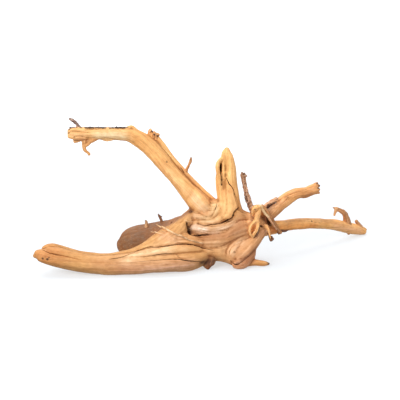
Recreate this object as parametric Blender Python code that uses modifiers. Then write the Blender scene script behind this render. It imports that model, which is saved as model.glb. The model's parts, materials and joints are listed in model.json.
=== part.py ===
"""A dried, weathered tree root: one grown piece of wood, with a long fluted front root, a heavy back lobe,
an arched limb, a split upright stump, two spreading side roots, a burl and a tangle of fine rootlets.

The root is laid out as it looks from the front, from a little above. Each limb is a row of stations, and a
station says, in millimetres, how far across and how far up it is seen from the middle of that view, how far
back it lies, its seen half width, and its half depth. Run it with: blender --background --python part.py
"""

import math

import bmesh
import bpy
import numpy as np

MM = 0.001

# The front view that the layout is read in.
VIEW_TILT = math.radians(15)
VIEW_DISTANCE = 1600.0
VIEW_CENTRE_HEIGHT = 96.6

# How the wood is built up and thinned.
LIMB_SIDES = 20
TWIG_SIDES = 6
LIMB_RING_STEP = 5.0
TWIG_RING_STEP = 6.0
DOME_RINGS = 3
DOME_LENGTH = 0.7
LUMP_SHARE = 0.035
VOXEL = 2.2
SMOOTH_PASSES = 6
MASS_TRIANGLES = 7000
BASE_CUTTER = 700.0

# Principled BSDF values of sun-dried, barkless root wood.
WOOD_COLOUR = (0.66, 0.39, 0.19, 1.0)
WOOD_ROUGHNESS = 0.78

# Stations are (across, up, back, half width, half depth), in millimetres.
THICK_LIMBS = {
    "front root, lower flute": [
        (-245.5, -82, -58, 7, 8),
        (-235, -84, -59, 10.2, 13),
        (-217, -88, -60, 12.2, 15),
        (-198, -92, -60, 13, 16),
        (-174, -96, -60, 13.2, 16),
        (-144, -98.7, -60, 13, 16),
        (-112, -98.3, -60, 13, 16),
        (-82, -96.8, -57, 13.8, 17),
        (-52, -93.8, -52, 15, 18),
        (-25, -91.5, -45, 15.5, 18),
        (-6, -89.3, -38, 12.8, 15),
        (9, -84, -30, 9, 10),
    ],
    "front root, upper flute": [
        (-233, -75, -47, 7, 8),
        (-223, -73.8, -45, 9, 12),
        (-207, -78.3, -43, 10, 14),
        (-186, -84.6, -42, 10, 14),
        (-162, -89, -42, 10, 14),
        (-135, -90, -42, 10.8, 14),
        (-111, -86.5, -40, 12.2, 15),
        (-87, -80.5, -37, 14, 17),
        (-66, -72, -32, 17.5, 19),
        (-48, -61, -27, 19, 20),
        (-33, -48, -21, 16.5, 18),
        (-24, -36, -15, 12.5, 14),
        (-16, -25, -8, 9, 10),
    ],
    "trunk core": [
        (-42, -69, -8, 24, 26),
        (-15, -60, -4, 33, 29),
        (15, -55.5, -3, 36, 30),
        (45, -51, -2, 33, 29),
        (69, -43.5, 1, 24, 24),
        (88, -37.5, 5, 16, 18),
    ],
    "trunk crown": [
        (-20, -33, 0, 13.5, 18),
        (4.5, -21, 0, 17, 21),
        (33, -17, 2, 18, 20),
        (57, -26, 3, 14, 18),
        (78, -33, 4, 12, 14),
    ],
    "trunk strand, upper": [
        (-14, -43, -20, 5, 8),
        (15, -46, -24, 6, 9),
        (42, -41, -22, 6, 9),
        (66, -30, -13, 5, 8),
    ],
    "trunk strand, middle": [
        (-10, -62, -28, 6, 9),
        (22, -61, -29, 7, 9),
        (52, -51, -24, 6.5, 9),
        (76, -40, -12, 5, 7),
    ],
    "trunk strand, lower": [
        (0, -76, -30, 7, 9),
        (30, -75, -28, 7, 9),
        (54, -64, -23, 6, 8),
        (80, -48, -12, 5, 7),
    ],
    "collar under the limb": [
        (-20, -25, -12, 3.5, 5),
        (-12, -33, -17, 4, 6),
        (4.5, -37, -20, 4.5, 6),
        (19, -32, -19, 4, 6),
        (27, -18, -15, 3.5, 5),
        (29, -4, -11, 2.5, 4),
    ],
    "back lobe": [
        (-12, -49.5, 20, 28.5, 25),
        (-42, -53.3, 38, 24.5, 25),
        (-72, -58.5, 50, 24.5, 24),
        (-94, -62, 56, 24, 22),
        (-106, -66.5, 58, 20.6, 19),
        (-114, -70.5, 59, 14, 14),
    ],
    "back ridge": [
        (6, -14, 20, 9, 9),
        (-14, -28, 30, 8, 9),
        (-40, -38, 48, 7, 9),
        (-66, -44, 62, 6, 8),
    ],
    "heel root": [
        (48, -52, 16, 20, 20),
        (40, -58, 38, 15, 17),
        (30, -60, 58, 11.5, 13),
        (22, -60, 74, 9, 10),
    ],
    "arched limb, main strand": [
        (6, -21, 2, 19.5, 17),
        (1, -7.5, 3, 16.8, 16),
        (-13.5, 8.3, 5, 13.2, 15),
        (-31, 28.5, 8, 12, 14),
        (-48, 47.3, 11, 12, 13.5),
        (-64.5, 66.8, 14, 12, 13),
        (-78.5, 81.8, 15, 12.6, 12.5),
        (-92, 92.2, 15, 12, 12),
        (-106.5, 98.6, 13, 11, 11),
        (-124.5, 99.6, 9, 10.3, 10),
        (-145.5, 99.6, 4, 9.8, 9.5),
        (-166.5, 100.2, 0, 9.3, 9),
        (-185, 99.6, -4, 9, 9),
        (-194, 99.6, -6, 7, 7),
    ],
    "arched limb, side strand": [
        (20, -4, 10, 7, 8),
        (6.5, 10, 13, 5, 6.5),
        (-13, 30, 16, 4.4, 6),
        (-30.5, 49.5, 19, 4.2, 6),
        (-46.5, 69, 21, 4.2, 6),
        (-60, 87, 22, 4.6, 6),
        (-67.3, 98, 21, 5.3, 6),
        (-72, 104.5, 20, 4.6, 5),
    ],
    "arched limb, elbow crest": [
        (-88, 101, 16, 5, 7),
        (-103, 107.5, 14, 3.6, 6),
        (-113, 107, 12, 3, 6),
    ],
    "arched limb, tip upper knuckle": [
        (-174, 104.5, -3, 4.4, 6),
        (-187, 105.5, -6, 4.2, 6),
        (-197, 104, -8, 3, 4),
    ],
    "arched limb, tip lower knuckle": [
        (-172, 94, -6, 4, 5),
        (-187, 94, -9, 4.4, 5),
        (-197, 95.5, -10, 3.2, 4),
    ],
    "arched limb, tip heel": [
        (-176, 93, -4, 4, 5),
        (-186, 89, -5, 4, 4.5),
        (-189, 87.5, -5, 2.8, 3),
    ],
    "stump, main blade": [
        (46.5, -21, 4, 18, 14),
        (45.4, -6, 5, 15.2, 12),
        (45.3, 9, 6, 13, 10),
        (45.4, 24, 7, 11.5, 9),
        (45.4, 39, 8, 10, 8),
        (44.2, 52.5, 9, 9.2, 7),
        (41.8, 62, 9.5, 8.8, 6.2),
        (40.6, 70, 10, 6.6, 5),
        (40.5, 76.5, 10, 3.2, 3),
    ],
    "stump, side blade": [
        (33, -9, 4, 8, 11),
        (30.4, 10.5, 4, 4.8, 10),
        (29, 27, 4, 4.1, 9),
        (27.6, 43.5, 4, 4.2, 8.5),
        (27, 53.3, 5, 4.6, 8),
        (29.5, 60.5, 6, 4, 6),
    ],
    "stump, back wall": [
        (36, -4, 12, 8, 6),
        (35, 20, 14, 6, 4),
        (35, 44, 14, 6, 3.5),
        (36, 60, 12, 5, 3),
    ],
    "upper side root": [
        (92, -30, 12, 13, 14),
        (105, -19.2, 20, 10.4, 11),
        (117, -9.5, 27, 9.3, 9.5),
        (130.5, 1, 34, 8.6, 8.5),
        (144, 8.8, 41, 8.2, 7.8),
        (156.8, 11.3, 48, 7.8, 7.4),
        (168, 15.2, 54, 8.4, 7.8),
        (176.5, 17.6, 58, 8.2, 7),
    ],
    "lower side root": [
        (84, -43, 6, 14, 15),
        (105, -41.8, 20, 10.5, 11),
        (126, -38.3, 38, 9.2, 9),
        (150, -35.6, 60, 8.3, 8.3),
        (177, -35.6, 84, 7.8, 7.5),
        (201, -37.3, 105, 8.2, 7.5),
        (220.5, -41, 122, 8.4, 7.6),
        (237, -44.5, 136, 8, 7.2),
        (246.5, -46.8, 142, 6.4, 5.8),
    ],
    "trunk underside": [
        (-8, -78, -22, 11, 15),
        (18, -79, -22, 12.5, 16),
        (38, -83, -22, 11, 15),
        (54, -90, -27, 10, 11),
    ],
    "burl": [
        (97, -41, 3, 8, 10),
        (85.5, -52, -6, 12, 12),
        (73, -65.3, -16, 15, 15),
        (61.5, -75.8, -23, 15.5, 16),
        (53, -83, -27, 12.6, 13),
    ],
    "burl heel": [
        (79, -64, -9, 7, 11),
        (73.5, -80, -19, 11, 13),
        (64, -92.5, -29, 11, 12),
        (56, -96.5, -35, 8.6, 9),
    ],
    "peg": [
        (69, -93, -24, 6.5, 7),
        (84, -94, -24, 5, 5),
        (97, -95.2, -23, 4.6, 4.6),
        (102.5, -96, -22, 3.2, 3.2),
    ],
    "root bud": [
        (9, -84, -32, 10, 9),
        (12, -96, -38, 7, 7),
        (13.6, -103, -41, 3.8, 4),
    ],
}

TWIGS = {
    "bark twig": [
        (89, -33, 8, 6, 6),
        (82, -24, 11, 5.4, 5.4),
        (76.5, -13, 14, 4.8, 4.8),
        (73, -3, 17, 4.8, 4.4),
        (70.8, 7, 18.5, 3.9, 3.9),
        (68.5, 19, 20, 3.6, 3.6),
        (66.2, 31.5, 21, 3.6, 3.6),
        (65, 38.5, 22, 4, 4),
    ],
    "bark splinter": [
        (88, -22, 8, 4, 4),
        (95, -11.5, 12, 4.2, 4.2),
        (104, -4.8, 17, 3.6, 3.6),
        (113, 0.6, 21, 3.2, 3.2),
    ],
    "tangle arch": [
        (80.6, -22.5, -13, 2.6, 3),
        (79.6, -15.5, -16, 4, 4),
        (82.5, -10, -15, 4.4, 4.4),
        (88, -10.5, -11, 4.4, 4.4),
        (92, -16, -3, 4.6, 4.6),
        (94, -25, 7, 5, 5),
    ],
    "tangle leg": [
        (87.5, -11.5, -12, 4.2, 4),
        (86.4, -20.3, -16, 4.2, 4),
        (85.2, -29, -19, 4, 4),
        (84.6, -35.5, -20, 3.2, 3.4),
        (84.2, -41, -20.5, 2.5, 2.8),
        (82, -47, -20, 2.4, 2.6),
        (78.5, -54, -17, 2.6, 2.6),
    ],
    "tangle loop": [
        (84, -31, -20, 3, 3),
        (77.5, -37, -22.5, 2.5, 2.6),
        (74, -43.5, -24, 2.4, 2.6),
        (74, -48.5, -23, 2.4, 2.6),
        (77.5, -54.5, -18, 2.6, 2.6),
    ],
    "tangle strut": [
        (88, -9.5, -12, 3, 3),
        (97.2, -18, -10, 2.6, 2.6),
        (106, -29.7, -3, 2.4, 2.4),
        (113.6, -40, 8, 2.4, 2.4),
        (118.5, -47, 23, 2.8, 2.8),
    ],
    "hanging rootlet": [
        (97, -36, 2, 2.6, 2.6),
        (100.5, -44, -9, 2.4, 2.4),
        (104, -52, -11, 2.3, 2.3),
        (106.8, -60.5, -10, 2.6, 2.6),
    ],
    "side root hook": [
        (221.5, -36, 123, 4.2, 4.2),
        (219.8, -26, 119, 3.6, 3.6),
        (216, -18.8, 117, 3.2, 3.2),
        (210.2, -14.2, 116, 2.8, 2.8),
        (205, -12, 115, 3, 3),
        (203.4, -18, 115, 3.1, 3.1),
        (202.2, -23.5, 115, 2.2, 2.2),
    ],
    "side root spur": [
        (241, -41, 137, 3, 3),
        (237, -34.5, 135, 2, 2),
        (233.9, -30.8, 134, 1.4, 1.4),
    ],
    "limb snag": [
        (-25, 37, 15, 2.6, 2.6),
        (-22, 42, 15, 2, 2),
        (-18, 50.3, 15, 1.8, 1.8),
        (-14, 61, 15, 1.8, 1.8),
    ],
    "limb knot": [
        (-74, 97, 19, 5, 5),
        (-75.5, 103, 19, 4.2, 4.5),
        (-72, 106.5, 19, 3, 3.4),
    ],
    "tip claw": [
        (-174, 96, -3, 3.4, 3.4),
        (-174, 83, -4, 2.6, 2.6),
        (-172, 75.5, -5, 2.4, 2.4),
        (-166.5, 70, -6, 2, 2),
    ],
    "tip strut": [
        (-150, 95.5, 2, 2.6, 2.6),
        (-157, 91, 0, 2.3, 2.3),
        (-164.5, 86, -2, 2.1, 2.1),
        (-173, 79, -4.5, 2, 2),
    ],
    "tip bark sliver": [
        (-173, 101, 4, 2.6, 2.6),
        (-180, 108, 7, 2.3, 2.3),
        (-188.3, 115.5, 9, 2.2, 2.2),
        (-197, 121, 11, 1.8, 1.8),
    ],
    "lobe stub": [
        (-79.5, -44, 47, 3.2, 3.2),
        (-80.5, -32.5, 46, 2.4, 2.4),
    ],
    "lobe rootlet": [
        (-58, -42, 42, 2.6, 2.6),
        (-57.5, -30, 41, 2, 2),
        (-62, -21.5, 41, 1.6, 1.6),
    ],
}

# Drying cracks: stations as above, where the half depth is how deep the crack bites behind `back`.
CRACKS = {
    "notch behind the front root": [
        (-20, -34, -27, 1.5, 16),
        (-19, -41, -28, 3.4, 20),
        (-17, -49, -30, 4.2, 24),
        (-13, -53.5, -30, 3, 22),
        (2, -54.5, -30, 1.6, 16),
        (24, -53, -31, 0.6, 12),
    ],
    "edge of the crown": [
        (-5, -34, -23, 0.5, 8),
        (10, -37, -25, 1.2, 10),
        (22, -38, -24, 1.6, 12),
        (38, -34, -21, 2.2, 14),
        (47, -27, -17.5, 2.6, 14),
        (51, -21, -15, 2.2, 14),
        (57, -12, -6, 0.8, 10),
    ],
    "front root, long crack": [
        (-130, -88, -65, 0.5, 10),
        (-105, -80, -51, 1.2, 12),
        (-82, -72, -48, 1.6, 14),
        (-66, -70, -48, 1.6, 14),
        (-45, -68, -46, 1.6, 14),
        (-20, -67, -33, 1.6, 14),
        (0, -70, -35, 1.4, 12),
        (15, -75, -36, 0.6, 8),
    ],
    "front root, low crack": [
        (-92, -92, -70, 0.5, 8),
        (-72, -91, -69, 1.2, 10),
        (-50, -89, -66, 1.4, 12),
        (-33, -89, -63, 1.4, 12),
        (-20, -90.5, -60, 1.4, 12),
        (0, -92.5, -50, 1.2, 12),
    ],
    "stump, edge crack": [
        (36, 37, 1, 0.5, 8),
        (43.5, 25.5, 0, 1.2, 8),
        (49, 18, -1, 1.4, 9),
        (52, 7.5, -2.5, 1.4, 9),
        (55.5, -3, -3, 0.6, 8),
    ],
}


def seen(across, up, back):
    """The point in space, in mm, seen there in the front view, and how much larger than seen it is there."""
    slope = math.tan(VIEW_TILT)
    depth = (back / math.cos(VIEW_TILT) - up * slope) / (1 + up * slope / VIEW_DISTANCE)
    scale = 1 + depth / VIEW_DISTANCE
    height = (up * scale - back * math.sin(VIEW_TILT)) / math.cos(VIEW_TILT)
    return (across * scale, back, VIEW_CENTRE_HEIGHT + height), scale


def in_space(stations):
    """Stations as rows of x, y, z, half width and half depth in mm."""
    rows = []
    for across, up, back, half_width, half_depth in stations:
        point, scale = seen(across, up, back)
        rows.append((*point, half_width * scale, half_depth * scale))
    return np.array(rows)


def smooth_path(rows, step):
    """Rows on a Catmull-Rom curve through the given rows, about `step` mm apart."""
    padded = np.vstack([2 * rows[0] - rows[1], rows, 2 * rows[-1] - rows[-2]])
    path = []
    for before, start, end, after in zip(padded, padded[1:], padded[2:], padded[3:]):
        count = max(1, round(np.linalg.norm(end[:3] - start[:3]) / step))
        for t in np.arange(count) / count:
            path.append(
                start
                + 0.5 * t * (end - before)
                + t**2 * (before - 2.5 * start + 2 * end - 0.5 * after)
                + t**3 * (1.5 * (start - end) + 0.5 * (after - before))
            )
    path.append(rows[-1])
    return np.array(path)


def unit(vectors):
    return vectors / np.linalg.norm(vectors, axis=-1, keepdims=True)


def frames(path):
    """Unit tangents of a path, and its width and depth directions as the front view has them."""
    eye = np.array(
        (0, -VIEW_DISTANCE * math.cos(VIEW_TILT), VIEW_CENTRE_HEIGHT + VIEW_DISTANCE * math.sin(VIEW_TILT))
    )
    tangents = unit(np.gradient(path[:, :3], axis=0))
    widths = unit(np.cross(tangents, unit(path[:, :3] - eye)))
    return tangents, widths, np.cross(widths, tangents)


def domed(path):
    """The path with rings added beyond both ends that close it with a dome."""
    tangents = frames(path)[0]

    def dome(end, direction):
        reach = DOME_LENGTH * min(end[3:])
        rings = []
        for step in range(1, DOME_RINGS + 1):
            angle = math.pi / 2 * step / (DOME_RINGS + 0.6)
            ring = end.copy()
            ring[:3] += direction * reach * math.sin(angle)
            ring[3:] *= math.cos(angle)
            rings.append(ring)
        return rings

    return np.vstack([dome(path[0], -tangents[0])[::-1], path, dome(path[-1], tangents[-1])])


def add_limb(mesh, name, stations, sides, step):
    """Adds a limb to the bmesh as a closed loft of oval rings, with the slow lumps of grown wood."""
    path = domed(smooth_path(in_space(stations), step))
    _, widths, depths = frames(path)
    phase = sum(map(ord, name))
    angles = 2 * math.pi * np.arange(sides) / sides
    rings = []
    for number, (row, width, depth) in enumerate(zip(path, widths, depths)):
        lumps = np.sin(2 * angles + phase + 0.31 * number) + np.sin(3 * angles + 2 * phase - 0.23 * number)
        radius = 1 + LUMP_SHARE * lumps[:, None]
        offsets = radius * (
            np.cos(angles)[:, None] * width * row[3] + np.sin(angles)[:, None] * depth * row[4]
        )
        rings.append([mesh.verts.new(point * MM) for point in row[:3] + offsets])
    for ring, following in zip(rings, rings[1:]):
        for side in range(sides):
            beside = (side + 1) % sides
            mesh.faces.new((ring[side], ring[beside], following[beside], following[side]))
    mesh.faces.new(rings[0])
    mesh.faces.new(rings[-1])


def object_from(mesh, name, collection):
    """Turns a bmesh into an object of that collection, with its faces pointing out."""
    bmesh.ops.recalc_face_normals(mesh, faces=mesh.faces)
    data = bpy.data.meshes.new(name)
    mesh.to_mesh(data)
    mesh.free()
    made = bpy.data.objects.new(name, data)
    collection.objects.link(made)
    return made


def helper(made):
    """Marks an object as a cutter or a joined piece, which isn't part of the model by itself."""
    made.hide_render = True
    made.display_type = "WIRE"
    return made


def make_crack(name, stations, collection):
    """A thin wedge along the crack's path: widest outside the wood, sharp at the bottom of the crack."""
    path = smooth_path(in_space(stations), LIMB_RING_STEP)
    _, widths, depths = frames(path)
    mesh = bmesh.new()
    rings = []
    for row, width, depth in zip(path, widths, depths):
        inward = depth if depth[1] > 0 else -depth
        side = width * row[3]
        outside = row[:3] - inward * row[4]
        corners = (outside - 2 * side, outside + 2 * side, row[:3] + inward * row[4] / 2)
        rings.append([mesh.verts.new(point * MM) for point in corners])
    for ring, following in zip(rings, rings[1:]):
        for side in range(3):
            beside = (side + 1) % 3
            mesh.faces.new((ring[side], ring[beside], following[beside], following[side]))
    mesh.faces.new(rings[0])
    mesh.faces.new(rings[-1])
    return helper(object_from(mesh, name, collection))


def new_collection(name):
    collection = bpy.data.collections.new(name)
    bpy.context.scene.collection.children.link(collection)
    return collection


def evaluated_mesh(made):
    bpy.context.view_layer.update()
    graph = bpy.context.evaluated_depsgraph_get()
    return bpy.data.meshes.new_from_object(made.evaluated_get(graph))


def make_mass(collection):
    """All the thick limbs grown together: one skin round their overlap, smoothed and thinned."""
    mesh = bmesh.new()
    for name, stations in THICK_LIMBS.items():
        add_limb(mesh, name, stations, LIMB_SIDES, LIMB_RING_STEP)
    made = object_from(mesh, "dry_root", collection)
    skin = made.modifiers.new("grow together", "REMESH")
    skin.mode = "VOXEL"
    skin.voxel_size = VOXEL * MM
    smooth = made.modifiers.new("soften the crotches", "SMOOTH")
    smooth.factor = 0.5
    smooth.iterations = SMOOTH_PASSES
    triangles = 2 * len(evaluated_mesh(made).polygons)
    thin = made.modifiers.new("thin", "DECIMATE")
    thin.ratio = MASS_TRIANGLES / triangles
    thin.use_collapse_triangulate = True
    return made


def make_base_cutter(collection):
    """The ground: a block whose top is at height 0, which leaves the root its flat resting spots."""
    bpy.ops.mesh.primitive_cube_add(size=BASE_CUTTER * MM, location=(0, 0, -BASE_CUTTER / 2 * MM))
    made = bpy.context.active_object
    made.name = "ground"
    for owner in list(made.users_collection):
        owner.objects.unlink(made)
    collection.objects.link(made)
    return helper(made)


def boolean(made, name, operation, *, cutter=None, collection=None):
    modifier = made.modifiers.new(name, "BOOLEAN")
    modifier.operation = operation
    modifier.solver = "EXACT"
    if collection:
        modifier.operand_type = "COLLECTION"
        modifier.collection = collection
    else:
        modifier.object = cutter


def wood_material():
    material = bpy.data.materials.new("dry root wood")
    material.use_nodes = True
    shader = material.node_tree.nodes["Principled BSDF"]
    shader.inputs["Base Color"].default_value = WOOD_COLOUR
    shader.inputs["Roughness"].default_value = WOOD_ROUGHNESS
    shader.inputs["Metallic"].default_value = 0.0
    return material


def centred(made):
    """Puts the origin at the middle of the box's bottom, by moving the mesh."""
    corners = np.array([vertex.co for vertex in made.data.vertices])
    low, high = corners.min(axis=0), corners.max(axis=0)
    for vertex in made.data.vertices:
        vertex.co.x -= (low[0] + high[0]) / 2
        vertex.co.y -= (low[1] + high[1]) / 2
        vertex.co.z -= low[2]


def main():
    for made in list(bpy.data.objects):
        bpy.data.objects.remove(made)
    parts = new_collection("dry root")
    twigs = new_collection("twigs to join")
    cutters = new_collection("cutters")

    root = make_mass(parts)
    for name, stations in TWIGS.items():
        mesh = bmesh.new()
        add_limb(mesh, name, stations, TWIG_SIDES, TWIG_RING_STEP)
        helper(object_from(mesh, name, twigs))
    boolean(root, "join twigs", "UNION", collection=twigs)
    for name, stations in CRACKS.items():
        boolean(root, name, "DIFFERENCE", cutter=make_crack(name, stations, cutters))
    boolean(root, "flat resting spots", "DIFFERENCE", cutter=make_base_cutter(cutters))

    root.data = evaluated_mesh(root)
    root.modifiers.clear()
    for collection in (twigs, cutters):
        for made in list(collection.objects):
            bpy.data.objects.remove(made)
        bpy.data.collections.remove(collection)
    centred(root)
    root.data.materials.clear()
    root.data.materials.append(wood_material())
    root.data.shade_smooth()
    root.data.set_sharp_from_angle(angle=math.radians(40))


main()
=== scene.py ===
"""The finished look of a dried, barkless tree root: fluted wood with drying cracks, folds and layered
strands, a bark-covered twig, and a tangle of fine rootlets, on a plain pale studio floor.

Lengths are in millimetres, and meshes hold metres. The root is laid out as it looks from the front, from a
little above. A station says how far across and how far up it is seen from the middle of that view, how far
back it lies, its seen half width and its half depth.
"""

import json
import math

import bmesh
import bpy
import numpy as np
from mathutils import Matrix, Vector, noise
from mathutils.bvhtree import BVHTree
from mathutils.kdtree import KDTree

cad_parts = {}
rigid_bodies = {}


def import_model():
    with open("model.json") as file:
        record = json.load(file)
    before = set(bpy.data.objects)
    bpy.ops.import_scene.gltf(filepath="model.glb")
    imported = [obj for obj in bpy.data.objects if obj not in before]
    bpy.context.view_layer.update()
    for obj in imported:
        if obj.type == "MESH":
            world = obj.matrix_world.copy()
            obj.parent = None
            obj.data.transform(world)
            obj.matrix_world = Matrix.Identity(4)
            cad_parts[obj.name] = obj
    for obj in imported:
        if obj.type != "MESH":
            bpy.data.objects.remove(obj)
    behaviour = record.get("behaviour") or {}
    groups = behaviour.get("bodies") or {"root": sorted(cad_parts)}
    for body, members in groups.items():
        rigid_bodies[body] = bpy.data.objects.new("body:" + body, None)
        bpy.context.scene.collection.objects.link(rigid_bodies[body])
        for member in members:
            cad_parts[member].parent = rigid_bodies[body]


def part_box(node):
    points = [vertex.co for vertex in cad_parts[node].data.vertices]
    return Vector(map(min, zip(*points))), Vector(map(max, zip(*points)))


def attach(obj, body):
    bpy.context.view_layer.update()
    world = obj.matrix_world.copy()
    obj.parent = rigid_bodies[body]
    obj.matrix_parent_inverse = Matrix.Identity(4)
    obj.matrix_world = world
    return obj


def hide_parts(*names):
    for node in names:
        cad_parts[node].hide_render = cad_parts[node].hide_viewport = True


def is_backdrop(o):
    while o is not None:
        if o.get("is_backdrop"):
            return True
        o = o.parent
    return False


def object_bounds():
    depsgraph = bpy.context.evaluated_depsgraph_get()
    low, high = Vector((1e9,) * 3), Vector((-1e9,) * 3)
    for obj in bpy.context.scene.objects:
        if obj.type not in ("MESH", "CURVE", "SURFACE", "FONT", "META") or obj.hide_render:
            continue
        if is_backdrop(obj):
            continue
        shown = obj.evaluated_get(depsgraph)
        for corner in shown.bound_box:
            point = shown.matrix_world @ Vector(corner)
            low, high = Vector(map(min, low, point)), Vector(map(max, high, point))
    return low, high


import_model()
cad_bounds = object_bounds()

MM = 0.001

# The front view that the layout is read in, which is also the camera's.
VIEW_TILT = math.radians(15)
VIEW_DISTANCE = 1600.0
VIEW_CENTRE_HEIGHT = 96.6
EYE = np.array(
    (0, -VIEW_DISTANCE * math.cos(VIEW_TILT), VIEW_CENTRE_HEIGHT + VIEW_DISTANCE * math.sin(VIEW_TILT))
)
SENSOR_WIDTH = 36
SEEN_WIDTH = 600.0

# The floor's size and how far it lies under the root, and the point that the lamps face, in metres.
FLOOR_RADIUS = 30
FLOOR_DROP = 0.0002
LIT_POINT = (0, 0, 0.08)

# How limbs are built: the rings of the dome at each end, its length in half widths, and how high the slow
# lumps are as a share of the limb.
DOME_RINGS = 5
DOME_LENGTH = 0.7
LUMP_SHARE = 0.035
# How close to the floor the wood stays smooth.
SMOOTH_FOOT = 0.3

# How fast a limb's say over the wood round it falls off, how far apart the limbs lie in the pattern along
# them, and how many points are dealt with at once.
LIMB_FALLOFF = 1.7
PATTERN_GAP = 400.0
POINTS_AT_ONCE = 8000

# How far from a fold's path its height still counts.
FOLD_REACH = 25.0

# How fast a patch of colour falls off, and how much less along the grain.
PATCH_FALLOFF = 1.2
PATCH_STRETCH = 0.6

# How the grain is drawn out of noise: a hop along the wood, and how many doublings of it.
GRAIN_HOP = 1.8
GRAIN_DOUBLINGS = 5
# Which way along a limb counts as forward, so that neighbouring limbs agree.
FORWARD = np.array((1.0, 0.0, 0.35))

# Drying cracks: how far their cutters stand out of the wood and wander, and how deep in a crack its painted
# shade is fully dark.
CUTTER_LIFT = 2.0
CRACK_WANDER = 0.22
CRACK_SHADE_DEPTH = 2.2
# The cracks over the sides that the front view hides: how many, the step along them, how far the wood
# there is turned away (1 is straight away) and how high over the floor they start.
HIDDEN_CRACKS = 16
HIDDEN_CRACK_STEP = 2.4
TURNED_AWAY = 0.4
LOWEST_CRACK = 6

# The most triangles that a piece keeps, the points under which a body is a crumb, and the sharpest edge
# that is shaded smooth.
MOST_TRIANGLES = 198000
CRUMB_POINTS = 40
SHARP_ANGLE = math.radians(50)

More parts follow.
